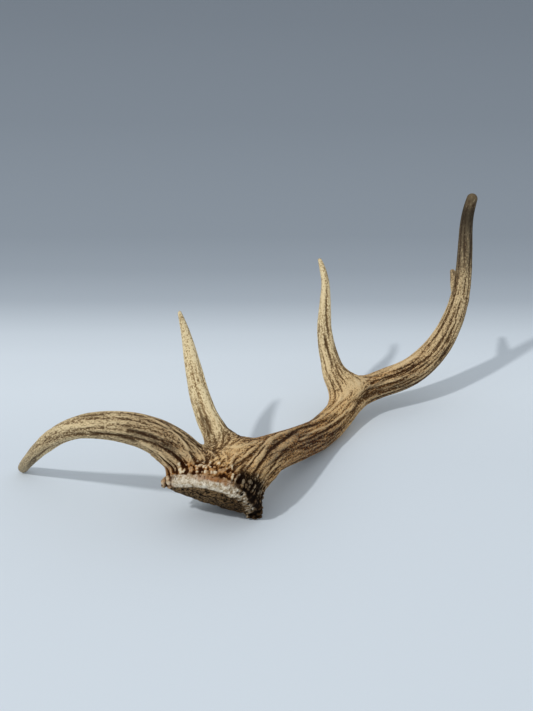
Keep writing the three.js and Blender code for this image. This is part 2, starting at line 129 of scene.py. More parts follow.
# single ridges (+) and furrows (-) of this antler: half width mm, tone, height mm, points in mm
MARKS = [
    # brow ridge
    (1.0, 0.60, 0.55, [(-103.7, -0.4, 109.5), (-94.5, -2.6, 106.4), (-88.9, -4.1, 104.1), (-83.4, -4.6, 100.8),
        (-77.5, -4.9, 96.1), (-72.1, -5.4, 91.7), (-67.3, -7.1, 86.5), (-63.3, -8.4, 80.2), (-60.7, -10.0, 73.7),
        (-59.7, -14.2, 68.8)]),
    # brow low 1
    (0.9, 0.50, 0.40, [(-107.0, -18.8, 94.0), (-96.6, -17.2, 86.8), (-89.5, -16.0, 81.1), (-84.8, -16.0, 76.6),
        (-81.3, -14.2, 70.0), (-77.2, -11.3, 62.0)]),
    # brow low 2
    (0.9, 0.45, 0.35, [(-103.9, -18.2, 90.4), (-94.2, -15.9, 82.5), (-87.9, -13.4, 73.9), (-83.6, -11.5, 66.5),
        (-79.8, -10.5, 58.6)]),
    # brow furrow
    (1.1, -0.42, -0.45, [(-94.3, 3.1, 105.4), (-84.5, -0.2, 101.5), (-72.7, -2.4, 93.7), (-67.6, -3.7, 88.2),
        (-63.0, -5.6, 83.1), (-58.5, -7.2, 76.8), (-55.9, -8.3, 71.4), (-54.9, -11.2, 66.9)]),
    # brow tan
    (1.2, 0.28, 0.35, [(-80.0, -0.4, 99.0), (-71.0, -0.4, 92.7), (-64.1, -1.2, 85.6), (-58.6, -2.2, 79.7),
        (-54.1, -4.5, 74.1), (-51.8, -8.3, 70.1), (-51.3, -11.4, 65.6)]),
    # ridge 5
    (1.0, 0.50, 0.50, [(-60.0, -1.3, 81.3), (-55.4, -1.3, 76.3), (-51.6, -2.5, 72.1), (-49.1, -5.2, 70.0),
        (-47.6, -7.9, 67.5), (-47.7, -13.6, 65.6)]),
    # ridge 5b
    (0.8, -0.35, -0.35, [(-55.5, 3.5, 77.4), (-51.1, 4.0, 72.3), (-47.5, -0.5, 70.5), (-45.3, -5.2, 68.1),
        (-44.6, -13.8, 66.9)]),
    # ridge 6
    (0.9, 0.42, 0.40, [(-47.5, 5.9, 70.9), (-42.4, 1.5, 69.8), (-38.3, -3.1, 68.3), (-36.7, -9.5, 67.3),
        (-37.2, -14.5, 65.7)]),
    # ridge 6b
    (0.8, -0.40, -0.40, [(-41.1, 6.1, 70.3), (-36.3, 0.5, 69.0), (-33.6, -6.6, 68.9), (-33.1, -12.3, 67.3),
        (-33.1, -21.2, 64.2)]),
    # ridge 7
    (0.9, 0.35, 0.40, [(-34.8, 5.8, 69.6), (-30.5, -0.2, 70.0), (-28.6, -4.9, 69.5), (-27.7, -10.2, 66.9),
        (-27.6, -14.4, 65.3)]),
    # ridge 8
    (1.0, 0.50, 0.50, [(-17.0, 2.7, 69.4), (-20.4, -3.2, 68.6), (-22.2, -8.3, 67.4), (-23.6, -12.6, 65.9),
        (-24.4, -16.3, 64.1)]),
    # ridge 8b
    (0.9, -0.50, -0.50, [(-16.4, -2.4, 68.9), (-19.1, -7.7, 67.0), (-20.8, -12.2, 65.7), (-21.6, -16.1, 63.1)]),
    # crest
    (1.6, 0.46, 0.60, [(2.3, 26.4, 66.0), (-6.9, 16.2, 68.2), (-15.8, 8.7, 69.8), (-23.3, 5.7, 70.3),
        (-32.0, 9.2, 69.7)]),
    # fan 1
    (0.8, 0.42, 0.35, [(6.6, 33.2, 64.0), (-0.8, 16.8, 67.1), (-6.9, 5.6, 68.1), (-13.1, -4.8, 66.8),
        (-16.6, -10.0, 64.3)]),
    # fan 1b
    (0.8, -0.36, -0.35, [(8.4, 31.3, 63.5), (1.1, 14.7, 66.6), (-5.6, 2.9, 66.5), (-11.5, -6.0, 65.0),
        (-14.5, -13.0, 63.5)]),
    # fan 2
    (0.9, 0.45, 0.40, [(14.9, 50.8, 59.0), (6.9, 26.0, 64.3), (2.2, 12.5, 64.8), (-2.2, 0.8, 64.7),
        (-7.5, -8.9, 62.5), (-12.3, -15.6, 60.7)]),
    # fan 2b
    (0.9, -0.50, -0.45, [(10.3, 30.8, 62.8), (5.3, 17.5, 64.0), (0.7, 4.8, 64.5), (-3.7, -4.9, 63.2),
        (-8.2, -12.7, 60.8)]),
    # tan ridge
    (2.0, 0.42, 1.00, [(32.9, 74.2, 51.4), (22.4, 58.9, 56.3), (14.8, 43.2, 59.8), (9.1, 25.2, 63.5),
        (5.6, 13.5, 63.5), (2.1, 3.0, 63.6), (-2.5, -8.4, 60.7)]),
    # main furrow
    (1.7, -0.55, -1.10, [(54.2, 109.9, 39.4), (45.2, 95.2, 44.0), (37.8, 79.5, 48.8), (29.8, 59.6, 53.1),
        (21.5, 40.1, 57.3), (14.8, 25.1, 60.3), (9.2, 10.7, 61.0), (3.5, -2.8, 59.1), (-1.3, -13.0, 56.4),
        (-4.7, -19.4, 52.6)]),
    # olive band
    (2.6, 0.16, 0.70, [(40.8, 70.5, 46.4), (31.6, 52.5, 51.6), (25.2, 39.0, 54.8), (17.8, 22.1, 55.7),
        (11.9, 8.9, 54.0), (6.4, -4.0, 51.8), (2.1, -11.9, 48.0)]),
    # flank 1
    (0.9, -0.36, -0.35, [(31.5, 45.1, 47.6), (22.6, 27.6, 51.1), (16.8, 14.4, 50.2), (11.7, 3.5, 48.2),
        (6.7, -5.8, 45.5), (2.9, -12.6, 39.8)]),
    # flank 2
    (0.9, 0.34, 0.35, [(22.6, 25.1, 49.3), (16.9, 12.4, 47.6), (11.1, 3.0, 45.2), (6.6, -3.1, 40.4),
        (2.9, -14.2, 38.7)]),
    # flank 3
    (0.9, -0.40, -0.40, [(23.6, 24.1, 45.6), (17.9, 15.4, 42.1), (12.5, 9.7, 36.9), (8.0, 2.2, 33.6),
        (3.5, -14.8, 35.2)]),
    # top dark
    (2.4, -0.34, -0.35, [(85.5, 150.0, 30.7), (74.6, 136.1, 33.1), (61.8, 117.6, 36.3), (50.8, 100.9, 40.8)]),
    # pale shoulder
    (1.8, 0.36, 0.40, [(94.6, 173.7, 38.2), (85.4, 167.6, 34.6), (75.5, 152.0, 33.5), (65.1, 134.9, 34.0),
        (54.0, 116.9, 37.6)]),
    # light line
    (1.1, 0.40, 0.40, [(107.8, 179.6, 33.3), (98.3, 165.6, 28.4), (85.7, 145.0, 28.0), (74.2, 126.3, 30.0),
        (61.3, 105.6, 35.5), (48.8, 84.1, 40.7), (40.6, 65.8, 45.3)]),
    # dark line
    (1.2, -0.36, -0.35, [(112.4, 182.6, 31.1), (102.8, 168.5, 26.3), (89.7, 146.9, 25.2), (76.9, 126.8, 26.6),
        (63.2, 104.2, 32.1), (48.0, 76.0, 39.9)]),
    # web
    (5.0, 0.34, 0.20, [(116.6, 206.9, 43.4), (105.6, 185.0, 48.0), (97.6, 179.3, 45.5), (91.1, 175.2, 39.2),
        (83.2, 167.2, 34.3)]),
    # web grey
    (2.4, -0.26, -0.25, [(84.4, 179.7, 39.9), (89.4, 178.4, 42.8), (94.9, 177.6, 43.9)]),
    # upper top
    (2.6, 0.34, 0.25, [(116.0, 206.1, 43.4), (129.8, 213.0, 45.8), (143.4, 217.9, 49.2), (156.4, 223.2, 52.4),
        (169.8, 229.9, 56.5), (181.5, 235.8, 61.4)]),
    # upper dark
    (1.4, -0.38, -0.45, [(105.4, 178.4, 36.3), (113.6, 187.2, 37.2), (122.9, 194.2, 38.2), (132.0, 199.8, 40.5),
        (142.4, 206.0, 43.6), (153.8, 211.3, 46.2), (167.7, 218.6, 49.8), (179.4, 225.4, 54.6)]),
    # upper low
    (2.4, -0.22, -0.20, [(100.7, 170.7, 30.7), (114.8, 185.6, 32.0), (130.9, 196.0, 33.4), (146.9, 202.9, 36.0),
        (160.6, 208.9, 39.2)]),
    # trez dark
    (1.3, -0.42, -0.40, [(71.9, 224.8, 92.4), (73.7, 213.0, 81.5), (76.7, 204.3, 74.2), (79.1, 197.5, 67.8),
        (80.7, 190.8, 60.3)]),
    # trez pale 1
    (1.1, 0.34, 0.35, [(66.2, 228.4, 89.7), (68.3, 215.1, 80.5), (71.7, 204.1, 71.8), (75.5, 193.9, 59.2),
        (78.2, 187.9, 47.4)]),
    # trez pale 2
    (0.9, 0.34, 0.35, [(77.4, 223.5, 89.4), (80.2, 215.0, 81.3), (82.0, 208.2, 75.3), (85.1, 201.2, 69.1),
        (89.6, 195.1, 63.0), (95.2, 190.5, 57.5)]),
    # trez edge
    (1.3, -0.34, -0.35, [(83.1, 212.8, 76.2), (86.0, 207.6, 70.4), (91.4, 200.8, 62.5), (99.2, 197.8, 55.9),
        (108.3, 200.6, 48.6)]),
    # brow dark line
    (1.1, -0.40, -0.40, [(-151.1, -16.9, 101.2), (-140.3, -19.4, 101.1), (-131.2, -20.1, 100.4),
        (-124.9, -20.2, 99.3), (-114.7, -19.5, 95.5), (-104.6, -18.2, 90.2)]),
    # brow dark 1
    (3.6, -0.24, -0.10, [(-116.7, -19.8, 106.4), (-106.5, -18.5, 101.7), (-94.7, -16.5, 96.3), (-87.6, -15.4, 92.8)]),
    # brow dark 2
    (4.2, -0.40, -0.20, [(-86.0, -15.3, 91.2), (-79.1, -14.4, 87.2), (-73.9, -14.0, 82.8), (-70.5, -13.9, 77.7)]),
    # bez pale
    (3.4, 0.30, 0.10, [(-47.8, 58.4, 91.5), (-44.5, 47.4, 86.5), (-41.3, 36.6, 80.7), (-38.3, 27.8, 75.7),
        (-36.7, 23.2, 73.0)]),
    # bez dark
    (2.6, -0.42, -0.35, [(-50.7, 46.0, 84.1), (-48.0, 37.4, 79.0), (-45.4, 29.8, 73.6), (-43.3, 24.2, 70.4)]),
    # bez dark 2
    (1.6, -0.30, -0.30, [(-58.6, 62.9, 92.4), (-55.3, 53.5, 87.6), (-52.6, 45.0, 82.4), (-50.0, 37.1, 76.0)]),
    # bez right
    (2.2, -0.26, -0.20, [(-41.4, 62.0, 86.4), (-36.2, 51.8, 81.3), (-30.5, 40.7, 77.0), (-24.7, 33.7, 71.2),
        (-15.8, 31.7, 64.9)]),
]

NS = 64
vol = [rng.rand(NS, NS, NS).astype(np.float32) for _ in range(4)]


def tri(vols, X):
    """Smooth periodic value noise."""
    i = np.floor(X).astype(np.int64)
    f = (X - i).astype(np.float32)
    f = f * f * (3 - 2 * f)
    i0, i1 = i % NS, (i + 1) % NS
    out = 0
    for a in (0, 1):
        for b in (0, 1):
            for c in (0, 1):
                w = (f[:, 0] if a else 1 - f[:, 0]) * (f[:, 1] if b else 1 - f[:, 1]) * (f[:, 2] if c else 1 - f[:, 2])
                ii = (i1 if a else i0)[:, 0], (i1 if b else i0)[:, 1], (i1 if c else i0)[:, 2]
                out = out + w * vols[ii]
    return out


def smooth(a, b, x):
    t = np.clip((x - a) / (b - a), 0.0, 1.0)
    return t * t * (3.0 - 2.0 * t)


def unit(v):
    return v / np.maximum(np.linalg.norm(v, axis=-1, keepdims=True), 1e-9)


class Branch:
    """A centre line sampled every 1.5 mm, with its radius and frames."""

    def __init__(self, stations, seed, lump=0.03):
        st = np.array(stations, float)
        y = st
        d = np.sqrt(np.linalg.norm(np.diff(st[:, :3], axis=0), axis=1))
        t = np.r_[0, np.cumsum(d)]
        n = len(t)
        h = np.diff(t)
        A = np.zeros((n, n))
        A[0, 0] = A[-1, -1] = 1
        rhs = np.zeros((n, y.shape[1]))
        for i in range(1, n - 1):
            A[i, i - 1], A[i, i], A[i, i + 1] = h[i - 1], 2 * (h[i - 1] + h[i]), h[i]
            rhs[i] = 6 * ((y[i + 1] - y[i]) / h[i] - (y[i] - y[i - 1]) / h[i - 1])
        M = np.linalg.solve(A, rhs)

        def ev(q):
            i = np.clip(np.searchsorted(t, q) - 1, 0, n - 2)
            hh = h[i][:, None]
            a = (t[i + 1] - q)[:, None]
            b = (q - t[i])[:, None]
            return (M[i] * a ** 3 + M[i + 1] * b ** 3) / (6 * hh) + (y[i] / hh - M[i] * hh / 6) * a + (
                y[i + 1] / hh - M[i + 1] * hh / 6) * b

        q = np.linspace(0, t[-1], 1500)
        X = ev(q)
        s = np.r_[0, np.cumsum(np.linalg.norm(np.diff(X[:, :3], axis=0), axis=1))]
        m = int(s[-1] / 1.5) + 1
        u = np.linspace(0, s[-1], m)
        self.s = u
        self.C = np.stack([np.interp(u, s, X[:, k]) for k in range(3)], 1)
        self.r = np.interp(u, s, X[:, 3])
        self.T = unit(np.gradient(self.C, u, axis=0))
        self.dr = np.gradient(self.r, u)
        N = np.zeros_like(self.T)
        v = np.cross(self.T[0], [0.0, 0.0, 1.0])
        if np.linalg.norm(v) < 0.1:
            v = np.cross(self.T[0], [1.0, 0.0, 0.0])
        for i in range(m):
            v = v - self.T[i] * np.dot(v, self.T[i])
            v = v / np.linalg.norm(v)
            N[i] = v
        self.N = N
        self.B = np.cross(self.T, N)
        self.length = s[-1]
        r = np.random.RandomState(seed)
        self.ph = r.uniform(0, 6.283, 6)
        self.lump = lump

    def near(self, P, reach):
        best = np.full(len(P), 1e9)
        bi = np.zeros(len(P), np.int64)
        for a in range(0, len(self.C), 14):
            c = self.C[a:a + 14]
            lo, hi = c.min(0) - reach, c.max(0) + reach
            m = np.where((P[:, 0] > lo[0]) & (P[:, 0] < hi[0]) & (P[:, 1] > lo[1]) & (P[:, 1] < hi[1])
                         & (P[:, 2] > lo[2]) & (P[:, 2] < hi[2]))[0]
            if not len(m):
                continue
            Q = P[m]
            dd = (Q * Q).sum(1)[:, None] - 2 * Q @ c.T + (c * c).sum(1)[None]
            j = dd.argmin(1)
            dv = dd[np.arange(len(m)), j]
            u = dv < best[m]
            mm = m[u]
            best[mm] = dv[u]
            bi[mm] = a + j[u]
        return best, bi

    def sdf(self, P, reach=45.0, full=False):
        best, bi = self.near(P, reach)
        ok = best < 1e8
        d = np.full(len(P), 1e3)
        g = np.zeros((len(P), 3))
        s = np.zeros(len(P))
        ph = np.zeros(len(P))
        F = np.zeros((len(P), 3))
        self.cross = np.zeros((len(P), 3))
        i = bi[ok]
        T = self.T[i]
        v = P[ok] - self.C[i]
        ds = (v * T).sum(1)
        ds = np.where(i == 0, np.maximum(ds, 0), ds)
        ds = np.where(i == len(self.C) - 1, np.minimum(ds, 0), ds)
        ds = np.clip(ds, -2.5, 2.5)
        v = v - ds[:, None] * T
        l = np.maximum(np.linalg.norm(v, axis=1), 1e-6)
        sv = self.s[i] + ds
        r = self.r[i] + ds * self.dr[i]
        cb, cn = (v * self.B[i]).sum(1), (v * self.N[i]).sum(1)
        phi = np.arctan2(cb, cn)
        self.cross[ok] = np.stack([cn, cb, sv], 1)
        p = self.ph
        end = smooth(0, 25, self.length - sv)
        m = end * self.lump * (0.9 * np.cos(2 * phi + p[0] + 1.6 * np.sin(sv / 70 + p[1]))
                               + 0.6 * np.cos(3 * phi + p[2] + 1.4 * np.sin(sv / 47 + p[3]))
                               + 0.5 * np.sin(sv / 17 + p[4]) * np.cos(phi + p[5] + sv / 60))
        d[ok] = l - r * (1 + m)
        g[ok] = v / l[:, None]
        s[ok] = sv
        ph[ok] = phi
        if full:
            F[ok] = unit(T + (self.dr[i] / np.maximum(r, 1.0))[:, None] * v)
        return d, g, s, ph, F


beam, brow, bez = Branch(BEAM, 1), Branch(BROW, 2), Branch(BEZ, 3, 0.025)
trez, spur, heel = Branch(TREZ, 4, 0.025), Branch(SPUR, 5, 0.05), Branch(HEEL, 6, 0.0)


def burr_coords(P):
    q = P - C0
    u, v, t = q @ EL / R_LONG, q @ ES / R_SHORT, q @ EA
    rho = np.maximum(np.hypot(u, v), 1e-4)
    near = np.maximum(0, -v / rho)
    A = ARCH * near ** 1.5 + BACK_ARCH * np.maximum(0, v / rho)
    gr = np.interp(rho, [0, .28, .5, .66, .78, .92, 1.0], [.10, .16, .32, .58, .76, .86, .96])
    tp = t - A
    for _ in range(5):
        gt = np.interp(tp, [-10, 4.6, 8.6, 12.5, 18, 25, 33, 41, 46], [1, 1, 1, .92, .72, .48, .24, .08, 0])
        k = smooth(-3.5, 3.0, tp)
        tp = 0.5 * tp + 0.5 * (t - A * gt * (gr * (1 - k) + k))
    return u, v, t, rho, tp


def burr_f(P):
    u, v, t, rho, tp = burr_coords(P)
    c, s = u / rho, v / rho
    R = R_LONG * R_SHORT / np.sqrt((R_SHORT * c) ** 2 + (R_LONG * s) ** 2)
    an = np.arctan2(v, u)
    R = R * (1 + 0.014 * np.sin(5 * an + 0.7) + 0.012 * np.sin(9 * an + 2.1) + 0.010 * np.sin(16 * an + 4.4) + 0.008 * np.sin(27 * an))
    side = np.interp(tp, [-8, -6.4, -5.4, -4.2, -2.2, 1.2, 4.6, 8.6, 12.5, 18, 25, 33, 41, 46, 50],
                     [.62, .70, .765, .82, .89, .925, .925, .875, .82, .755, .69, .58, .40, .08, -.3])
    side = side - 0.055 * np.maximum(0, np.cos(an)) ** 6 * smooth(1, 5, tp)
    fs = (rho - side) * R
    fb = np.interp(rho, [0, .4, .66, .8], [-6.3, -6.1, -5.5, -4.6]) - tp
    k = 2.2
    h = np.clip(0.5 - 0.5 * (fb - fs) / k, 0, 1)
    return fb * (1 - h) + fs * h + k * h * (1 - h)


def seal_f(P):
    """Negative above the seal's surface."""
    u, v, t, rho, tp = burr_coords(P)
    return np.interp(rho, [0, .4, .66, .8, .95, 1.3], [-6.3, -6.1, -5.5, -4.6, -2.6, 1.0]) - tp


def ring_point(phi, rho, tp):
    """A point of the burr at an angle, a share of its radius and a height above the edge."""
    near, far = max(0.0, -math.sin(phi)), max(0.0, math.sin(phi))
    A = ARCH * near ** 1.5 + BACK_ARCH * far
    g = float(np.interp(tp, [-10, 4.6, 8.6, 12.5, 18, 25, 33, 41, 46], [1, 1, 1, .92, .72, .48, .24, .08, 0]))
    return C0 + EL * R_LONG * rho * math.cos(phi) + ES * R_SHORT * rho * math.sin(phi) + EA * (tp + A * g)


def smin(d1, g1, d2, g2, k):
    h = np.clip(0.5 + 0.5 * (d2 - d1) / k, 0, 1)
    d = d2 * (1 - h) + d1 * h - k * h * (1 - h)
    return d, (g2 * (1 - h)[:, None] + g1 * h[:, None]) if g1 is not None else None


trez_root = np.array(TREZ[0][:3])
trez_dir = unit(np.array(TREZ[1][:3]) - trez_root)


def core(P, full=False, reach=45.0):
    parts = {}
    D, G = None, None
    for name, br, k in (("beam", beam, 0), ("spur", spur, 6), ("heel", heel, 7), ("trez", trez, 17),
                        ("bez", bez, 15), ("brow", brow, 13)):
        d, g, s, ph, F = br.sdf(P, reach, full)
        parts[name] = (d, s, ph, F)
        if D is None:
            D, G = d, g
        else:
            if name in ("trez", "bez", "brow"):
                w = smooth(1, 15, s)
                if name == "trez":
                    # the crotch runs out further along the beam's upper side
                    k = k + 6.0 * smooth(226, 246, parts["beam"][1])
                    upper_ = smooth(0.0, 0.7, G @ unit(np.array([-0.30, 0.20, 0.93])))
                    w = np.maximum(w, upper_ * smooth(-26, 6, (P - trez_root) @ trez_dir))
                if name == "bez":
                    k = k + 13.0 * smooth(-42, -20, P[:, 0])
                k = 1.5 + (k - 1.5) * w
            D, G = smin(D, G, d, g, k)
    m = np.where(np.linalg.norm(P - C0, axis=1) < 80)[0]
    kb = np.full(len(P), 9.0)
    fb = np.full(len(P), 1e3)
    gb = np.zeros((len(P), 3))
    if len(m):
        Q = P[m]
        e = 0.35
        f = burr_f(Q)
        gr = np.stack([burr_f(Q + dv) - burr_f(Q - dv) for dv in np.eye(3) * e], 1) / (2 * e)
        n = np.clip(np.linalg.norm(gr, axis=1), 0.35, 3.0)
        fb[m] = f / n
        gb[m] = unit(gr)
        f = seal_f(Q)
        gr = np.stack([seal_f(Q + dv) - seal_f(Q - dv) for dv in np.eye(3) * e], 1) / (2 * e)
        n = np.clip(np.linalg.norm(gr, axis=1), 0.35, 3.0)
        fs = np.where(np.linalg.norm(Q - C0, axis=1) < 66, f / n, -1e3)
        gs = unit(gr)
        h = np.clip(0.5 - 0.5 * (D[m] - fs) / 2.0, 0, 1)
        G[m] = G[m] * (1 - h)[:, None] + gs * h[:, None]
        D[m] = D[m] * (1 - h) + fs * h + 2.0 * h * (1 - h)
        kb[m] = 0.8 + 8.2 * smooth(-3, 10, burr_coords(Q)[4])
    parts["burr"] = (fb, None, None, None)
    D, G = smin(D, G, fb, gb, kb)
    return D, G, parts


def knobs():
    """The burr's pearls: rows of uneven knobs round the edge, smaller ones above."""
    out = []
    r0 = np.random.RandomState(5)

    def row(count, tp, rmin, rmax, jit, skip=0.0, big=0.0, tall=1.3):
        """Knobs set on the surface itself, found by walking outwards at each angle."""
        rhos = np.linspace(0.66, 1.40, 75)
        for i in range(count):
            phi = (i + r0.uniform(-.40, .40)) / count * 2 * math.pi
            r = r0.uniform(rmin, rmax) * (1.3 if r0.rand() < big else 1.0)
            h = tp + r0.uniform(-jit, jit)
            tl = r0.uniform(1.0, tall)
            if r0.rand() < skip:
                continue
            pts = np.array([ring_point(phi, rho, h) for rho in rhos])
            out_ = np.where(core(pts)[0] > 0)[0]
            cw = math.cos(phi)
            if len(out_) and out_[0] > 0 and rhos[out_[0]] < 1.03 and not (cw > 0.80 and h < 13):
                if cw < -0.88 and h > 4:
                    continue
                out.append((ring_point(phi, rhos[out_[0]] - 0.20 * r / 45.0, h), r, tl))

    row(68, 5.4, 1.0, 1.5, 0.9, 0.25, 0.1, 1.2)
    row(68, 7.8, 1.2, 1.9, 0.9, 0.08, 0.10, 1.4)
    row(70, 11.0, 1.1, 1.8, 1.2, 0.08, 0.12, 1.6)
    row(70, 14.4, 1.0, 1.6, 1.4, 0.14, 0.1, 1.9)
    row(66, 18.4, 0.8, 1.3, 1.8, 0.25, 0.1, 2.3)
    row(58, 23.0, 0.7, 1.2, 2.2, 0.45, 0.0, 2.8)
    # the heavy knobs at the two ends of the oval
    for phi, rho, tp, r in ((3.14, .925, -0.2, 3.2), (3.36, .93, 3.2, 2.7), (2.95, .92, 2.0, 2.8), (3.48, .90, 7.0, 3.0),
                            (3.05, .93, -3.2, 2.4), (3.26, .965, 0.8, 1.9), (2.86, .93, -1.0, 2.4), 
                            (3.42, .93, -1.4, 2.2), (3.60, .92, 4.2, 2.2),
                            (0.02, .90, -0.4, 4.6), (-0.12, .90, 2.6, 3.4), (0.16, .90, 1.0, 3.8), (-0.05, .95, -3.0, 2.8),
                            (-0.22, .92, -1.0, 3.0), (0.05, .965, 0.6, 2.3), (-0.30, .89, 3.8, 2.8), (0.30, .91, 1.6, 3.2),
                            (-0.40, .91, 0.6, 2.4), (-0.46, .88, 5.4, 2.4), (-0.34, .82, 9.4, 2.0), (-0.56, .85, 8.8, 2.2),
                            (-0.10, .83, 7.0, 2.0), (-0.20, .80, 12.5, 1.7), (0.12, .84, 5.6, 2.2)):
        out.append((ring_point(phi, rho, tp), r, 1.1))
    out.append((np.array([-3.0, -2.4, 6.0]), 5.6, 1.0))
    out.append((np.array([1.6, 1.0, 8.4]), 3.9, 1.0))
    out.append((np.array([-8.6, -3.6, 6.6]), 4.0, 1.0))
    return out


KNOBS = knobs()
KC = np.array([k[0] for k in KNOBS])
KR = np.array([k[1] for k in KNOBS])
KT = np.array([k[2] for k in KNOBS])
KC[:, 2] = np.maximum(KC[:, 2], KR - 0.35)


def knob_sdf(P):
    d = np.full(len(P), 1e3)
    g = np.zeros((len(P), 3))
    m = np.where(np.linalg.norm(P - C0, axis=1) < 75)[0]
    for a in range(0, len(m), 20000):
        q = m[a:a + 20000]
        X = P[q]
        warp = np.stack([tri(vol[k], X / 2.9 + 7.7 * k) for k in range(3)], 1) - 0.5
        v = (X + 1.7 * warp)[:, None, :] - KC[None]
        al = v @ EA
        v = v - (al * (1 - 1 / KT[None]))[..., None] * EA
        l = np.linalg.norm(v, axis=2)
        dd = l - KR[None]
        j = dd.argmin(1)
        i = np.arange(len(q))
        d[q] = dd[i, j]
        g[q] = v[i, j] / np.maximum(l[i, j], 1e-6)[:, None]
    return d, g


def antler(P, full=False, reach=45.0):
    D, G, parts = core(P, full, reach)
    dk, gk = knob_sdf(P)
    parts["knob"] = (dk, None, None, None)
    D, G = smin(D, G, dk, gk, 1.0)
    return D, unit(G), parts


# -------------------------------------------------- coarse shape on the grid
LO = np.array([-250.0, -60.0, -12.0])
HI = np.array([250.0, 345.0, 245.0])
DIM = np.ceil((HI - LO) / GRID).astype(int) + 1
gx, gy, gz = [LO[k] + GRID * np.arange(DIM[k]) for k in range(3)]
GP = np.stack(np.meshgrid(gx, gy, gz, indexing="ij"), -1).reshape(-1, 3)


def close_cells():
    """Grid points within reach of any centre line."""
    keep = np.zeros(DIM, bool)
    for br in (beam, brow, bez, trez, spur):
        for i in range(0, len(br.C), 4):
            r = br.r[i] + 14.0
            a = np.maximum(((br.C[i] - r - LO) / GRID).astype(int), 0)
            b = np.minimum(((br.C[i] + r - LO) / GRID).astype(int) + 2, DIM)
            keep[a[0]:b[0], a[1]:b[1], a[2]:b[2]] = True
    a = np.maximum(((C0 - 68 - LO) / GRID).astype(int), 0)
    b = np.minimum(((C0 + 68 - LO) / GRID).astype(int) + 2, DIM)
    keep[a[0]:b[0], a[1]:b[1], a[2]:b[2]] = True
    return keep.reshape(-1)


keep = close_cells()
KI = np.where(keep)[0]
VAL = np.full(len(GP), 50.0)
FLOW = np.zeros((len(GP), 3), np.float32)
for a in range(0, len(KI), 400000):
    q = KI[a:a + 400000]
    D, G, parts = antler(GP[q], full=True, reach=34.0)
    VAL[q] = D
    W = np.zeros((len(q), 3))
    for name in ("beam", "brow", "bez", "trez", "spur"):
        d, s, ph, F = parts[name]
        w = np.exp(-np.clip(d, -9, 60) / 4.6)
        if name != "beam":
            w = w * smooth(2, 30, s)
        W += w[:, None] * F
    u, v, t, rho, tp = burr_coords(GP[q])
    db = parts["burr"][0]
    w = 1.6 * np.exp(-np.clip(db, -9, 60) / 3.6) * (1 - smooth(9, 34, tp))
    rad = unit(u[:, None] * EL + v[:, None] * ES)
    W += w[:, None] * (EA[None] - 0.12 * rad)
    FLOW[q] = unit(W)
F3 = FLOW.reshape(*DIM, 3)


def surface_nets(F):
    """A closed quad mesh of the zero level of a dense grid of values."""
    nx, ny, nz = F.shape
    ins = F < 0
    cnt = np.zeros((nx - 1, ny - 1, nz - 1), np.float32)
    pos = np.zeros((nx - 1, ny - 1, nz - 1, 3), np.float32)
    base = np.stack(np.meshgrid(np.arange(nx - 1), np.arange(ny - 1), np.arange(nz - 1), indexing="ij"), -1)
    S = [slice(0, -1), slice(1, None)]
    for ax in range(3):
        o = [k for k in range(3) if k != ax]
        for i in (0, 1):
            for j in (0, 1):
                c0, c1 = [0, 0, 0], [0, 0, 0]
                c0[o[0]] = c1[o[0]] = i
                c0[o[1]] = c1[o[1]] = j
                c1[ax] = 1
                f0 = F[S[c0[0]], S[c0[1]], S[c0[2]]]
                f1 = F[S[c1[0]], S[c1[1]], S[c1[2]]]
                m = (f0 < 0) != (f1 < 0)
                t = np.where(m, f0 / np.where(m, f0 - f1, 1), 0)
                for k in range(3):
                    pos[..., k] += np.where(m, c0[k] + (t if k == ax else 0), 0)
                cnt += m
    act = cnt > 0
    idx = -np.ones(cnt.shape, np.int64)
    idx[act] = np.arange(act.sum())
    V = base[act] + pos[act] / cnt[act][:, None]
    Q = []
    for ax in range(3):
        a = [slice(1, -1)] * 3
        b = [slice(1, -1)] * 3
        a[ax] = slice(0, -1)
        b[ax] = slice(1, None)
        m = ins[tuple(a)] != ins[tuple(b)]
        w = np.argwhere(m)
        off = np.ones(3, int)
        off[ax] = 0
        c = w + off
        o = [k for k in range(3) if k != ax]
        if ax == 1:
            o = o[::-1]

        def cell(di, dj):
            z = c.copy()
            z[:, o[0]] -= di
            z[:, o[1]] -= dj
            return idx[z[:, 0], z[:, 1], z[:, 2]]

        q = np.stack([cell(1, 1), cell(0, 1), cell(0, 0), cell(1, 0)], 1)
        flip = ~ins[c[:, 0], c[:, 1], c[:, 2]]
        q[flip] = q[flip][:, ::-1]
        Q.append(q)
    return V, np.concatenate(Q)


V, Q = surface_nets(VAL.reshape(*DIM).astype(np.float32))
V = V * GRID + LO


def make_mesh(name, verts, faces):
    me = bpy.data.meshes.new(name)
    me.from_pydata([tuple(v) for v in verts], [], [tuple(f) for f in faces])
    me.update()
    return me


def icosphere(c, r):
    g = (1 + 5 ** 0.5) / 2
    v = np.array([[-1, g, 0], [1, g, 0], [-1, -g, 0], [1, -g, 0], [0, -1, g], [0, 1, g], [0, -1, -g], [0, 1, -g],
                  [g, 0, -1], [g, 0, 1], [-g, 0, -1], [-g, 0, 1]], float)
    f = np.array([[0, 11, 5], [0, 5, 1], [0, 1, 7], [0, 7, 10], [0, 10, 11], [1, 5, 9], [5, 11, 4], [11, 10, 2],
                  [10, 7, 6], [7, 1, 8], [3, 9, 4], [3, 4, 2], [3, 2, 6], [3, 6, 8], [3, 8, 9], [4, 9, 5], [2, 4, 11],
                  [6, 2, 10], [8, 6, 7], [9, 8, 1]])
    return unit(v) * r * 1.03 + c, f


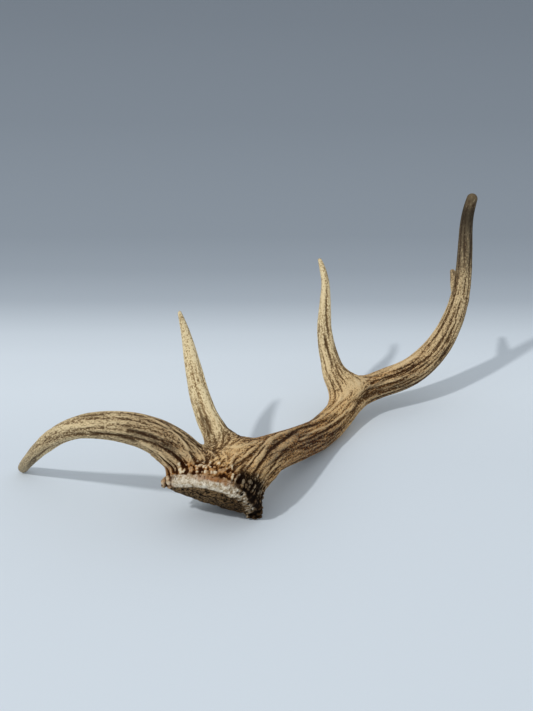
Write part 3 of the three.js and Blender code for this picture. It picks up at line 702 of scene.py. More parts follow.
allv, allf, n = [V], [tuple(q) for q in Q], len(V)
for c, r in zip(KC, KR):
    v, f = icosphere(c, r)
    allv.append(v)
    allf += [tuple(t) for t in (f + n)]
    n += len(v)
me = make_mesh("coarse", np.concatenate(allv), allf)
ob = bpy.data.objects.new("coarse", me)
bpy.context.scene.collection.objects.link(ob)
mod = ob.modifiers.new("remesh", "REMESH")
mod.mode = "VOXEL"
mod.voxel_size = VOXEL
mod.adaptivity = 0.0
dg = bpy.context.evaluated_depsgraph_get()
fine = bpy.data.meshes.new_from_object(ob.evaluated_get(dg))
bpy.data.objects.remove(ob)
bpy.data.meshes.remove(me)

NV = len(fine.vertices)
P = np.zeros(NV * 3)
fine.vertices.foreach_get("co", P)
P = P.reshape(-1, 3)
NL = len(fine.loops)
lv = np.zeros(NL, np.int64)
fine.loops.foreach_get("vertex_index", lv)
ls = np.zeros(len(fine.polygons), np.int64)
fine.polygons.foreach_get("loop_start", ls)
lt = np.zeros(len(fine.polygons), np.int64)
fine.polygons.foreach_get("loop_total", lt)
E = np.zeros(len(fine.edges) * 2, np.int64)
fine.edges.foreach_get("vertices", E)
E = E.reshape(-1, 2)
quads = lv[ls[lt == 4][:, None] + np.arange(4)]
bpy.data.meshes.remove(fine)

# keep the largest connected piece only
lab = np.arange(NV)
while True:
    m = np.minimum(lab[E[:, 0]], lab[E[:, 1]])
    new = lab.copy()
    np.minimum.at(new, E[:, 0], m)
    np.minimum.at(new, E[:, 1], m)
    new = new[new]
    new = new[new]
    if (new == lab).all():
        break
    lab = new
ids, cnts = np.unique(lab, return_counts=True)
main = ids[cnts.argmax()]
keepv = lab == main
remap = -np.ones(NV, np.int64)
remap[keepv] = np.arange(keepv.sum())
P = P[keepv]
quads = remap[quads[keepv[quads[:, 0]]]]
E = remap[E[keepv[E[:, 0]]]]
NV = len(P)


def average(X):
    X = X.reshape(NV, -1)
    out = np.zeros_like(X)
    deg = np.bincount(E[:, 0], minlength=NV) + np.bincount(E[:, 1], minlength=NV)
    for k in range(X.shape[1]):
        out[:, k] = (np.bincount(E[:, 0], weights=X[E[:, 1], k], minlength=NV)
                     + np.bincount(E[:, 1], weights=X[E[:, 0], k], minlength=NV))
    return out / np.maximum(deg, 1)[:, None]


def face_normals(P):
    a, b, c, d = (P[quads[:, k]] for k in range(4))
    return np.cross(c - a, d - b)


def vertex_normals(P):
    fn = face_normals(P)
    out = np.zeros((NV, 3))
    for k in range(3):
        for j in range(4):
            out[:, k] += np.bincount(quads[:, j], weights=fn[:, k], minlength=NV)
    return unit(out)


for it in range(3):
    D, G, parts = antler(P)
    P = P - np.clip(D, -3, 3)[:, None] * G
for it in range(2):
    P = P + 0.6 * (average(P) - P)
    for _ in range(2):
        D, G, parts = antler(P)
        P = P - np.clip(D, -2, 2)[:, None] * G

# which piece each face belongs to, and the fork edges set on the cut planes
D, G, parts = antler(P)
names = ("beam", "brow", "bez", "trez", "spur")
dist = np.stack([parts[n][0] for n in names], 1)


def node_of(X, nearest):
    out = np.zeros(len(X), int)
    for k, (name, at, dr, R) in enumerate(FORKS):
        dr = unit(np.array(dr))
        side = (X - np.array(at)) @ dr > 0
        inside = np.linalg.norm(X - np.array(at), axis=1) < R
        own = {"brow_tine": (1,), "bez_tine": (2,), "trez_tine": (3,), "upper_beam": (0, 4)}[name]
        mine = side & (inside | np.isin(nearest, own))
        if name == "upper_beam":
            mine = side & np.isin(nearest, own)
        out[mine & (out == 0)] = k + 1
    return out


near_v = dist.argmin(1)
fc = P[quads].mean(1)
fnear = near_v[quads[:, 0]]
fnode = node_of(fc, fnear)
same = np.zeros((NV, 5), bool)
for k in range(5):
    same[quads[fnode == k].reshape(-1), k] = True
border = same.sum(1) > 1
for k, (name, at, dr, R) in enumerate(FORKS):
    dr = unit(np.array(dr))
    b = np.where(border & same[:, k + 1])[0]
    for _ in range(3):
        D, G, _p = antler(P[b])
        dd = (P[b] - np.array(at)) @ dr
        tang = dr[None] - (G @ dr)[:, None] * G
        P[b] -= dd[:, None] * tang / np.maximum((tang ** 2).sum(1), 0.2)[:, None]
        D, G, _p = antler(P[b])
        P[b] -= D[:, None] * G

# ------------------------------------------------------------ grain fields
Nrm = vertex_normals(P)
if ((P - P.mean(0)) * Nrm).sum() < 0:
    quads = quads[:, ::-1]
    Nrm = -Nrm

def flow(X):
    x = (X - LO) / GRID
    i = np.clip(np.floor(x).astype(np.int64), 0, DIM - 2)
    f = (x - i).astype(np.float32)
    out = 0
    for a in (0, 1):
        for b in (0, 1):
            for c in (0, 1):
                w = (f[:, 0] if a else 1 - f[:, 0]) * (f[:, 1] if b else 1 - f[:, 1]) * (f[:, 2] if c else 1 - f[:, 2])
                out = out + w[:, None] * F3[i[:, 0] + a, i[:, 1] + b, i[:, 2] + c]
    return out


# scale, reach along the grain, volume
BANDS = [("hair", 1.05, 13.0, 0), ("fine", 2.1, 24.0, 1), ("mid", 4.6, 44.0, 2), ("broad", 9.5, 62.0, 3)]
acc = {b[0]: np.zeros(NV) for b in BANDS}
wsum = {b[0]: 0.0 for b in BANDS}
steps = [1.0] * 13 + [2.0] * 9 + [4.0] * 8
for sgn in (1, -1):
    X = P.copy()
    length = 0.0
    for st in [0.0] + steps:
        if st:
            F = flow(X)
            Xm = X + 0.5 * sgn * st * F
            X = X + sgn * st * flow(Xm)
            length += st
        for name, wl, L, vi in BANDS:
            if length > L:
                continue
            w = max(st, 1.0) * (0.5 + 0.5 * math.cos(math.pi * length / L)) * (0.5 if not st else 1.0)
            acc[name] += w * tri(vol[vi], X / wl + 17.3 * vi)
            wsum[name] += w
S = {}
for name, wl, L, vi in BANDS:
    x = acc[name] / wsum[name]
    x = (x - x.mean()) / x.std()
    S[name] = x
spot = tri(vol[0], P / 3.3) - 0.5
blot = tri(vol[1], P / 14.0) - 0.5
blot2 = tri(vol[2], P / 31.0 + 5.5) - 0.5
speck = tri(vol[3], P / 1.25) - 0.5

# ------------------------------------------------------------ zones
u, v, t, rho, tp = burr_coords(P)
D, G, parts = antler(P)
cross = {}
for name, br in (("beam", beam), ("brow", brow), ("bez", bez), ("trez", trez), ("spur", spur)):
    br.sdf(P)
    cross[name] = br.cross
dist = np.stack([parts[n][0] for n in names], 1)
dburr, dknob = parts["burr"][0], parts["knob"][0]
near_v = dist.argmin(1)
wts = np.exp(-np.clip(dist, -8, 40) / 4.6)
wts /= wts.sum(1, keepdims=True)
sB, sW, sZ, sT, sS = (parts[n][1] for n in names)
LB, LW, LZ, LT = beam.length, brow.length, bez.length, trez.length

in_ring = np.linalg.norm(P - C0, axis=1) < 72
ang = np.arctan2(v, u)
se = 0.80 - 0.17 * np.maximum(0, np.cos(ang)) ** 3
seal = np.where(in_ring & (rho < 0.9), smooth(-3.1, -4.3, tp) * smooth(se + 0.03, se - 0.03, rho), 0)
rim = np.where(in_ring, smooth(6.2, 4.2, tp) * smooth(0.66, 0.76, rho) * (1 - seal), 0)
knob = np.where(in_ring, smooth(1.0, -0.3, dknob), 0) * (tp > -4)
# height above the burr, for what fades out along the base
above = np.where(in_ring, tp, 80)
base = smooth(58, 12, above)

# ------------------------------------------------------------ relief
P0 = P.copy()
hair, fineg, mid, broad = S["hair"], S["fine"], S["mid"], S["broad"]
tip = np.zeros(NV)
for k, (sv, L) in enumerate(((sB, LB), (sW, LW), (sZ, LZ), (sT, LT))):
    tip = np.maximum(tip, np.where(near_v == k, smooth(95 if k < 2 else 70, 18, L - sv), 0))
tip = np.where(near_v == 4, 0.6, tip)
rough = (1 - 0.70 * tip)
groove = smooth(0.15, 1.7, -fineg)           # narrow furrows
furrow = smooth(0.2, 1.6, -mid)              # wider ones
disp = (0.17 * broad + 0.15 * mid + 0.12 * np.clip(fineg, -2, 2) + 0.08 * np.clip(hair, -2, 2)
        - 0.40 * groove - 0.45 * furrow) * rough
# strong ridges rising from the burr
ridge = smooth(40, 12, above)
disp += ridge * (0.50 * np.clip(mid, -1.8, 1.8) + 0.25 * np.clip(broad, -1.5, 1.5) + 0.50 * np.clip(fineg, -1.8, 1.8) + 0.15 * np.clip(hair, -2, 2))
# pearls on the base
pr = np.random.RandomState(9)
cand = np.where((above > 13) & (above < 52) & (rho < 1.25))[0]
pick = cand[pr.permutation(len(cand))[:int(len(cand) / 90 * (VOXEL / 0.75) ** 2)]]
pearl = np.zeros(NV)
if len(pick):
    pick = pick[(mid[pick] + 0.5 * broad[pick]) > -0.1]
    PC = P[pick]
    PF = flow(PC)
    PRr = pr.uniform(0.6, 1.3, len(pick)) * (1.25 - 0.6 * smooth(14, 50, above[pick]))
    for a in range(0, len(cand), 8000):
        q = cand[a:a + 8000]
        vv = P[q][:, None, :] - PC[None]
        al = (vv * PF[None]).sum(2)
        d2 = (vv ** 2).sum(2) - 0.85 * al ** 2
        hgt = np.clip(1 - d2 / (PRr[None] ** 2), 0, 1)
        pearl[q] = (hgt * PRr[None]).max(1)
pearl *= smooth(52, 20, above) * (1 - knob)
disp += 0.55 * pearl
# the single ridges and furrows
mark_t, mark_h = np.zeros(NV), np.zeros(NV)
wander = np.stack([tri(vol[k], P0 / 7.0 + 3.1 * k) for k in range(3)], 1) - 0.5
uneven = 0.72 + 0.6 * tri(vol[3], P0 / 5.0 + 1.7)
for w, tn, hg, pts in MARKS:
    pts = np.array(pts, float)
    ext = np.vstack([2 * pts[0] - pts[1], pts, 2 * pts[-1] - pts[-2]])
    line_ = []
    for i in range(len(pts) - 1):
        p0, p1, p2, p3 = ext[i:i + 4]
        for q in np.arange(5) / 5.0:
            line_.append(0.5 * (2 * p1 + (p2 - p0) * q + (2 * p0 - 5 * p1 + 4 * p2 - p3) * q ** 2 + (3 * p1 - p0 - 3 * p2 + p3) * q ** 3))
    line_ = np.array(line_ + [pts[-1]])
    arc = np.r_[0, np.cumsum(np.linalg.norm(np.diff(line_, axis=0), axis=1))]
    lo, hi = line_.min(0) - 3 * w - 2, line_.max(0) + 3 * w + 2
    m = np.where(((P0 > lo) & (P0 < hi)).all(1))[0]
    X = P0[m] + 1.2 * wander[m]
    bd, ba = np.full(len(m), 1e9), np.zeros(len(m))
    for i in range(len(line_) - 1):
        a, e = line_[i], line_[i + 1] - line_[i]
        q = np.clip(((X - a) @ e) / (e @ e), 0, 1)
        off = X - a - q[:, None] * e
        dd = (off ** 2).sum(1) - 0.85 * (off * Nrm[m]).sum(1) ** 2
        hit = dd < bd
        bd[hit], ba[hit] = dd[hit], (arc[i] + q * np.sqrt(e @ e))[hit]
    g = np.exp(-(bd / w ** 2) ** 1.3) * smooth(-1, 7, ba) * smooth(-1, 7, arc[-1] - ba) * uneven[m]
    mark_t[m] += tn * g
    mark_h[m] += hg * g
disp += mark_h * (1 - 0.7 * knob)
# pits and grain of the seal, uneven rim
pits = smooth(0.10, 0.42, tri(vol[2], P / 2.3)) * 0.5 + smooth(0.05, 0.4, tri(vol[1], P / 1.5)) * 0.5
seal_relief = 1.3 * (tri(vol[0], P / 8.0) - 0.5) + 0.9 * (tri(vol[3], P / 3.1) - 0.5) - 0.9 * (1 - pits)
disp = disp * (1 - seal) * (1 - 0.8 * rim) * (1 - 0.75 * knob) + seal * seal_relief
# short cracks down the rim
ringc = np.stack([np.cos(ang) * 21.0, np.sin(ang) * 21.0, tp * 0.10], 1)
crack = smooth(0.055, 0.01, np.abs(tri(vol[3], ringc) - 0.5)) * smooth(0.35, 0.6, tri(vol[0], ringc * 0.35 + 3.0)) * smooth(-3.5, 1.5, tp)
disp += knob * (0.7 * spot + 0.35 * speck) + rim * (0.7 * (tri(vol[1], P / 4.0) - 0.5) + 0.4 * (tri(vol[2], P / 1.6) - 0.5) - 0.5 * crack)
end_cap = np.zeros(NV)
for k, (sv, L) in enumerate(((sB, LB), (sW, LW), (sZ, LZ), (sT, LT), (sS, spur.length))):
    end_cap = np.where(near_v == k, np.maximum(end_cap, smooth(6, 1, L - sv)), end_cap)
disp = disp * (1 - 0.8 * end_cap) - 0.15 * end_cap

Nrm = vertex_normals(P)
if (Nrm * G).sum() < 0:
    quads = quads[:, ::-1]
    Nrm = -Nrm
P = P + disp[:, None] * Nrm
P[:, 2] = np.maximum(P[:, 2], 0.03)
Nrm = vertex_normals(P)

# cavity: how far a point lies below its neighbourhood, in mm
blur = P.copy()
for it in range(33):
    blur = average(blur)
    if it == 7:
        cav = ((blur - P) * Nrm).sum(1)
deep = ((blur - P) * Nrm).sum(1)
wide = deep.copy()
for _ in range(30):
    wide = average(wide)[:, 0]
deep = deep - wide
print("CAV", np.percentile(cav, [1, 10, 50, 90, 99]).round(3), np.percentile(deep[knob > 0.5], [1, 10, 50, 90, 99]).round(3))

# ------------------------------------------------------------ colour masks
wb, ww, wz, wt = wts[:, 0] + wts[:, 4], wts[:, 1], wts[:, 2], wts[:, 3]
# paleness along each branch: dark beam and brow root, pale bez and trez
pale = wb * np.interp(sB, [0, 60, 90, 150, 185, 205, 235, 270, 320, 350, 385, 420, 480, LB - 25, LB],
                      [.42, .14, .02, .05, .26, .48, .34, .26, .22, .36, .44, .46, .30, .06, .02])
pale += ww * np.interp(sW, [0, 30, 60, 90, 125, 200, 260, LW], [.42, .25, .18, .40, .62, .62, .45, .40])
pale += wz * np.interp(sZ, [0, 20, 45, 80, LZ], [.35, .60, .86, 1.05, 1.0])
pale += wt * np.interp(sT, [0, 25, 60, 100, LT], [.52, .62, .82, .93, .95])
pale = pale + 0.05 * np.clip(broad, -1.5, 1.5) + 0.25 * blot + 0.15 * blot2
# tone: darker and lighter streaks wider than the shader's own grain
lines = np.clip(0.62 * groove + 0.50 * furrow + 0.30 * smooth(0.2, 1.7, -hair), 0, 1)
stain = 0.45 * mid + 0.45 * broad + 0.35 * fineg + 1.3 * blot + 1.0 * blot2
stain = stain / stain.std()
# the cavity term paints shade into hollows and a highlight onto rises
tone = 0.10 * stain - 0.14 * lines + 0.10 * np.clip(-cav / 0.08, -1.5, 1.5)
tone += wb * np.interp(sB, [0, 40, 90, 170, 200, 240, 290, 320, 350, 385, 420, 455, 490, 512, LB],
                       [-.02, -.08, -.20, -.20, -.04, -.04, -.20, -.22, -.10, -.06, -.12, -.34, -.62, -1.05, -1.30])
# painted highlight on the upper beam's side facing the light, painted shade on its far side
facing_light = Nrm @ unit(np.array([-0.75, -0.1, 0.65]))
tone += wb * smooth(225, 265, sB) * smooth(440, 400, sB) * (0.22 * smooth(0.1, 0.7, facing_light) - 0.18 * smooth(0.1, -0.6, facing_light))
tone -= ww * 0.28 * smooth(LW - 90, LW - 10, sW)
tone += 0.8 * np.clip(mark_t, -0.8, 0.8) * (1 - knob)
streak = np.maximum(ridge, np.clip(wt + wb * smooth(190, 260, sB) + 0.6 * ww, 0, 1))
pale_line = np.clip(1.15 * np.clip(mark_t, 0, 1) + 0.42 * (1 - 0.75 * wb * smooth(425, 500, sB)) * streak * smooth(0.9, 1.8, fineg) * (1 - 0.6 * end_cap), 0, 1) * (1 - knob) * (1 - seal)
dark_line = np.clip(1.15 * np.clip(-mark_t, 0, 1) + 0.38 * streak * smooth(0.9, 1.8, -fineg), 0, 1) * (1 - knob) * (1 - seal)
tone += ridge * (0.16 * np.clip(fineg, -1.5, 1.8) + 0.10 * np.clip(mid, -1.5, 1.5))
# a dark band along the brow tine's flank, a pale face on the bez tine, a pale crotch at the trez fork
band = np.exp(-((Nrm[:, 2] + 0.12) / 0.30) ** 2) * smooth(0.1, -0.4, Nrm[:, 1]) * smooth(10, 40, sW) * smooth(LW - 30, LW - 90, sW)
tone -= 0.30 * ww * band * (0.6 + 0.8 * blot)
face = np.exp(-((Nrm[:, 0] - 0.22) / 0.30) ** 2) * smooth(0.2, -0.3, Nrm[:, 1])
pale += wz * 0.25 * face
tone += wz * (0.22 * face - 0.22 * smooth(-0.1, -0.5, Nrm[:, 0]) * smooth(115, 40, sZ) - 0.42 * smooth(0.45, 0.80, Nrm[:, 0]) * smooth(105, 45, sZ))
crotch = np.exp(-(((P0 - np.array([98.0, 195.0, 46.0])) / np.array([22.0, 20.0, 16.0])) ** 2).sum(1))
pale += 0.14 * crotch
saddle = np.exp(-(((P0 - np.array([-20.0, 32.0, 73.0])) / np.array([14.0, 16.0, 13.0])) ** 2).sum(1))
pale -= 0.45 * saddle
tone -= 0.50 * saddle
warm = (base * 0.50 + 0.45 * smooth(26, 15, above) + wb * np.interp(sB, [0, 60, 150, 200, 250, 310, 350, 390, LB],
                                                                    [.55, .95, 1.05, .85, .85, .50, .30, .15, .10])
        + 0.48 * wt * smooth(75, 10, sT) + 0.25 * wz * smooth(55, 0, sZ) + 0.25 * ww * smooth(100, 20, sW))
warm = np.clip(warm, 0, 1) * (1 - seal) * np.where(in_ring, 1 - 0.75 * smooth(-0.72, -0.92, np.cos(ang)) * smooth(5, 9, tp), 1)
grey = ww * (0.10 + 0.75 * smooth(LW - 85, LW - 10, sW)) + wb * 0.30 * smooth(LB - 110, LB - 60, sB) * smooth(LB - 5, LB - 40, sB)
# the burr: orange brown flanks, pale knob tops (worn, with a painted highlight), painted shade in the clefts and over
# the right end, away from the light
along = (P0 - C0) @ EL
right = np.where(in_ring, smooth(1, 15, along + 5 * blot) * smooth(34, 16, above + 10 * blot2), 0)
above_rim = np.where(in_ring, smooth(4.4, 6.0, tp), 0)
# painted shade over the burr's right end, the side away from the light
tone -= 0.42 * right
burrz = above_rim * smooth(24, 14, above) * smooth(1.12, 1.0, rho) * (1 - smooth(-0.70, -0.92, np.cos(ang)) * smooth(6, 9, tp))
end_knob = np.where(in_ring, smooth(-0.90, -0.975, np.cos(ang)) * (rho > 0.70) * smooth(17, 10, tp), 0)
# pale knob tops: wear, with a painted highlight, weaker on the shaded right end
knob_tops_wear_and_highlight = smooth(0.22, 0.60, -deep) * knob * above_rim * (1 - 0.72 * right)
knob_tops_wear_and_highlight = knob_tops_wear_and_highlight + end_knob * smooth(0.15, 0.6, -deep) * 0.5
knob_tops_wear_and_highlight = np.clip(knob_tops_wear_and_highlight * (0.25 + 0.75 * smooth(0.38, 0.58, tri(vol[3], P0 / 3.4))), 0, 1)
# painted shade in the clefts between the knobs
cleft_shade = smooth(0.04, 0.30, deep) * np.where(in_ring, smooth(30, 16, above), 0) * np.maximum(above_rim, np.maximum(right, end_knob))
low = np.interp(along, [0, 20, 28], [2.4, 1.6, -2.8])        # where the painted shade of the right end stops above the seal's edge
right_shade_reach = np.maximum(smooth(low - 1.0, low + 1.0, tp), smooth(36, 39, along))
cleft_shade = np.maximum(cleft_shade, right * (0.95 - 0.72 * smooth(0.05, 0.55, -deep)) * right_shade_reach)
# a painted shade line in the crease between the rim and the knobs
gap = np.exp(-((tp - 6.2) / 1.0) ** 2) * (rho > 0.8) * smooth(0.30, 0.55, tri(vol[0], P0 / 4.6)) * smooth(-40, -30, along) * (1 - end_knob)
cleft_shade = np.maximum(cleft_shade, np.where(in_ring, 0.85 * gap, 0))
cleft_shade = np.clip(cleft_shade, 0, 1) * (1 - seal)
near_mid = np.exp(-((ang + 1.80) / 0.40) ** 2)
rim_dirt = np.clip(smooth(0.0, 2.0, tp + 2.6 * (tri(vol[2], P / 4.0) - 0.5)) * (0.10 + 0.95 * near_mid), 0, 1)
cream = rim * (1 - 0.95 * right * right_shade_reach) * smooth(40, 36, along)
cream = cream * (1 - 0.85 * end_knob)
burrz = np.maximum(burrz, np.maximum(end_knob * smooth(-5, -3, tp), rim * right * right_shade_reach))
# raised edges paler: wear, with a painted highlight
edge_wear_and_highlight = smooth(0.05, 0.22, -cav) * (1 - seal)

MASKS = {"m_pale": np.clip(pale, 0, 1.1), "m_tone": tone, "m_warm": warm, "m_grey": np.clip(grey, 0, 1),
         "m_burr": burrz, "m_top": knob_tops_wear_and_highlight, "m_crev": cleft_shade, "m_worn": edge_wear_and_highlight, "m_cream": cream, "m_dirt": rim_dirt,
         "m_crack": crack * rim, "m_seal": seal, "m_right": right, "m_line": pale_line, "m_furrow": dark_line, "m_soil": smooth(-22, 22, along) * 0.8,
         "m_dim": wb * (0.30 * smooth(448, 480, sB) + 0.45 * smooth(500, 525, sB)) * (0.35 + 0.65 * smooth(LB - 4, LB - 14, sB))}

# grain coordinates: across the branch in mm, along it shrunk, so noise in them makes streaks
STRETCH = 0.24


def grain_of(c):
    return c * np.array([1.0, 1.0, STRETCH])


gA = grain_of(cross["beam"])
gB = np.where(P[:, :1] < 0, grain_of(cross["brow"]), np.where(P[:, :1] < 160, grain_of(cross["trez"]), grain_of(cross["spur"])))
gC = grain_of(cross["bez"])
gD = np.stack([u * R_LONG, v * R_SHORT, tp * 0.12], 1) + 60.0
wD = np.where(in_ring, 1.6 * np.exp(-np.clip(dburr, -9, 60) / 3.0) * (1 - smooth(8, 30, tp)), 0)
wg = np.exp(-np.clip(dist, -8, 40) / 4.0)
wA, wC = wg[:, 0], wg[:, 2] * smooth(2, 30, sZ)
wB = np.where(P[:, 0] < 0, wg[:, 1] * smooth(2, 30, sW), np.where(P[:, 0] < 160, wg[:, 3] * smooth(2, 30, sT), wg[:, 4] * smooth(2, 30, sS)))
tot = wA + wB + wC + wD + 1e-9
VECS = {"g_a": gA, "g_b": gB, "g_c": gC, "g_d": gD}
for nm, w in (("w_a", wA), ("w_b", wB), ("w_c", wC), ("w_d", wD)):
    MASKS[nm] = w / tot


# ------------------------------------------------------------ material
def antler_material(name):
    mat = bpy.data.materials.new(name)
    mat.use_nodes = True
    nt = mat.node_tree
    for n in list(nt.nodes):
        nt.nodes.remove(n)
    N, Lk = nt.nodes, nt.links

    def node(kind, **kw):
        n = N.new(kind)
        for k, val in kw.items():
            setattr(n, k, val)
        return n

    def attr(a):
        return node("ShaderNodeAttribute", attribute_name=a).outputs["Fac"]

    def math_(op, a, b=None, clamp=False):
        n = node("ShaderNodeMath", operation=op, use_clamp=clamp)
        for i, x in enumerate((a, b)):
            if x is None:
                continue
            if hasattr(x, "links"):
                Lk.new(x, n.inputs[i])
            else:
                n.inputs[i].default_value = x
        return n.outputs[0]

    def mix(fac, a, b, blend="MIX"):
        n = node("ShaderNodeMix", data_type="RGBA", blend_type=blend)
        for sock, x in ((n.inputs[0], fac), (n.inputs[6], a), (n.inputs[7], b)):
            if hasattr(x, "links"):
                Lk.new(x, sock)
            elif isinstance(x, tuple):
                sock.default_value = (*x, 1.0)
            else:
                sock.default_value = x
        return n.outputs[2]

    def srgb(r, g, b):
        return tuple(((c / 255.0 + 0.055) / 1.055) ** 2.4 if c > 10 else c / 255.0 / 12.92 for c in (r, g, b))

    tc = node("ShaderNodeTexCoord")

    def noise(scale, detail=3.0, rough=0.6, vec=None, out="Fac"):
        n = node("ShaderNodeTexNoise")
        n.inputs["Scale"].default_value = scale
        n.inputs["Detail"].default_value = detail
        n.inputs["Roughness"].default_value = rough
        Lk.new(vec if vec else tc.outputs["Object"], n.inputs["Vector"])
        return n.outputs[out]

    def ramp(x, lo, hi):
        n = node("ShaderNodeMapRange", interpolation_type="SMOOTHSTEP")
        n.inputs["From Min"].default_value = lo
        n.inputs["From Max"].default_value = hi
        Lk.new(x, n.inputs["Value"])
        return n.outputs["Result"]

    def grain(scale, detail, rough):
        """Streak noise, carried from one branch's coordinates to the next at the forks."""
        total = None
        for k in "abcd":
            vec = node("ShaderNodeAttribute", attribute_name="g_" + k).outputs["Vector"]
            c = noise(scale, detail, rough, vec, "Color")
            m = node("ShaderNodeVectorMath", operation="SCALE")
            Lk.new(c, m.inputs[0])
            Lk.new(attr("w_" + k), m.inputs["Scale"])
            if total is None:
                total = m.outputs[0]
            else:
                a = node("ShaderNodeVectorMath", operation="ADD")
                Lk.new(total, a.inputs[0])
                Lk.new(m.outputs[0], a.inputs[1])
                total = a.outputs[0]
        sp = node("ShaderNodeSeparateXYZ")
        Lk.new(total, sp.inputs[0])
        return sp.outputs

    def line(x, lo, hi):
        n = node("ShaderNodeMapRange")
        n.inputs["From Min"].default_value = lo
        n.inputs["From Max"].default_value = hi
        Lk.new(x, n.inputs["Value"])
        return n.outputs["Result"]

    def centred(x, k):
        return math_("MULTIPLY", math_("SUBTRACT", x, 0.5), k)

    n_fine = noise(640.0, 3.0, 0.65)
    n_mid = noise(330.0, 3.0, 0.6)
    g1, g2, g3 = grain(0.92, 3.0, 0.65)        # streaks about 1 mm apart
    h1, h2, h3 = grain(1.7, 2.0, 0.6)          # hair lines

    # three tones of bone, dark to pale, each going from brown to ivory
    pale = attr("m_pale")
    dark = mix(math_("POWER", pale, 1.4, True), srgb(52, 28, 11), srgb(128, 103, 70))
    midt = mix(math_("MINIMUM", pale, 1.0), srgb(99, 64, 32), srgb(200, 173, 127))
    lite = mix(math_("POWER", pale, 0.7, True), srgb(172, 136, 92), srgb(236, 219, 178))
    t = math_("ADD", 0.5, attr("m_tone"))
    t = math_("ADD", t, centred(g1, 2.7))
    t = math_("ADD", t, centred(h1, 2.0))
    t = math_("ADD", t, centred(n_fine, 2.7))
    col = mix(line(t, 0.20, 0.50), dark, midt)
    col = mix(line(t, 0.50, 0.80), col, lite)
    col = mix(math_("MULTIPLY", attr("m_warm"), 0.9), col, (1.0, 0.76, 0.50), "MULTIPLY")
    col = mix(math_("MULTIPLY", attr("m_grey"), 0.62), col, srgb(106, 102, 92))
    # thin pale lines between the streaks
    y = math_("ADD", centred(g2, 2.4), centred(h3, 1.6))
    col = mix(math_("MULTIPLY", line(y, 0.24, 0.50), 0.48), col, srgb(228, 208, 166))
    # raised edges lightened: wear and a painted highlight
    col = mix(math_("MULTIPLY", attr("m_worn"), 0.18), col, srgb(226, 206, 164))
    # single ridges, worn pale, and furrows, stained dark
    col = mix(math_("MULTIPLY", attr("m_line"), math_("ADD", 0.85, centred(n_fine, 1.6)), True), col, srgb(226, 201, 158))
    col = mix(math_("MULTIPLY", attr("m_furrow"), math_("ADD", 0.90, centred(n_fine, 1.6)), True), col, srgb(46, 26, 11))
    # the dark end of the main beam
    col = mix(attr("m_dim"), col, srgb(52, 45, 36))
    # burr: orange brown, with pale knob tops, worn and with a painted highlight
    bz = mix(line(math_("ADD", centred(n_mid, 2.2), centred(n_fine, 1.2)), -0.35, 0.35), srgb(82, 43, 13), srgb(186, 128, 64))
    # painted shade darkening the burr over its right end
    bz = mix(math_("MULTIPLY", attr("m_right"), 0.90), bz, srgb(36, 19, 7))
    col = mix(math_("MULTIPLY", attr("m_burr"), 0.84), col, bz)
    col = mix(attr("m_top"), col, srgb(228, 214, 184))
    # the rim
    cr = mix(line(math_("ADD", centred(n_mid, 2.0), centred(n_fine, 1.0)), -0.4, 0.35), srgb(150, 126, 92), srgb(236, 226, 206))
    cr = mix(math_("MULTIPLY", attr("m_dirt"), 0.85), cr, srgb(146, 92, 38))
    cr = mix(attr("m_crack"), cr, srgb(70, 44, 22))
    # painted shade darkening the rim over its right end
    cr = mix(math_("MULTIPLY", attr("m_right"), line(math_("ADD", centred(n_mid, 2.6), centred(n_fine, 1.4)), 0.45, -0.25)), cr, srgb(112, 88, 58))
    col = mix(attr("m_cream"), col, cr)
    # painted shade in the clefts, darkest over the right end
    col = mix(attr("m_crev"), col, mix(attr("m_right"), srgb(50, 24, 8), srgb(15, 7, 3)))
    # the seal: dark, porous
    sl = mix(line(math_("ADD", centred(n_mid, 4.4), centred(n_fine, 4.4)), -0.5, 0.7), srgb(13, 6, 2), srgb(134, 108, 76))
    # the seal darker towards its right end
    sl = mix(attr("m_soil"), sl, (0.42, 0.36, 0.30), "MULTIPLY")
    col = mix(attr("m_seal"), col, sl)

    rgh = math_("ADD", 0.62, centred(n_fine, 0.3))
    rgh = math_("ADD", rgh, math_("MULTIPLY", attr("m_crev"), 0.2))
    rgh = math_("ADD", rgh, math_("MULTIPLY", attr("m_seal"), 0.2), True)

    hgt = math_("ADD", math_("MULTIPLY", n_fine, 0.4), math_("MULTIPLY", n_mid, 0.15))
    hgt = math_("ADD", hgt, math_("MULTIPLY", g1, 0.8))
    hgt = math_("ADD", hgt, math_("MULTIPLY", h1, 0.45))
    bump = node("ShaderNodeBump")
    bump.inputs["Strength"].default_value = 0.7
    bump.inputs["Distance"].default_value = 0.0013
    Lk.new(hgt, bump.inputs["Height"])

    bsdf = node("ShaderNodeBsdfPrincipled")
    Lk.new(col, bsdf.inputs["Base Color"])
    Lk.new(rgh, bsdf.inputs["Roughness"])
    Lk.new(bump.outputs["Normal"], bsdf.inputs["Normal"])
    bsdf.inputs["IOR"].default_value = 1.5
    bsdf.inputs["Specular IOR Level"].default_value = 0.04
    out = node("ShaderNodeOutputMaterial")
    Lk.new(bsdf.outputs["BSDF"], out.inputs["Surface"])
    return mat


MATS = {s: antler_material(s) for s in ("antler_beam", "antler_tine", "antler_pale")}

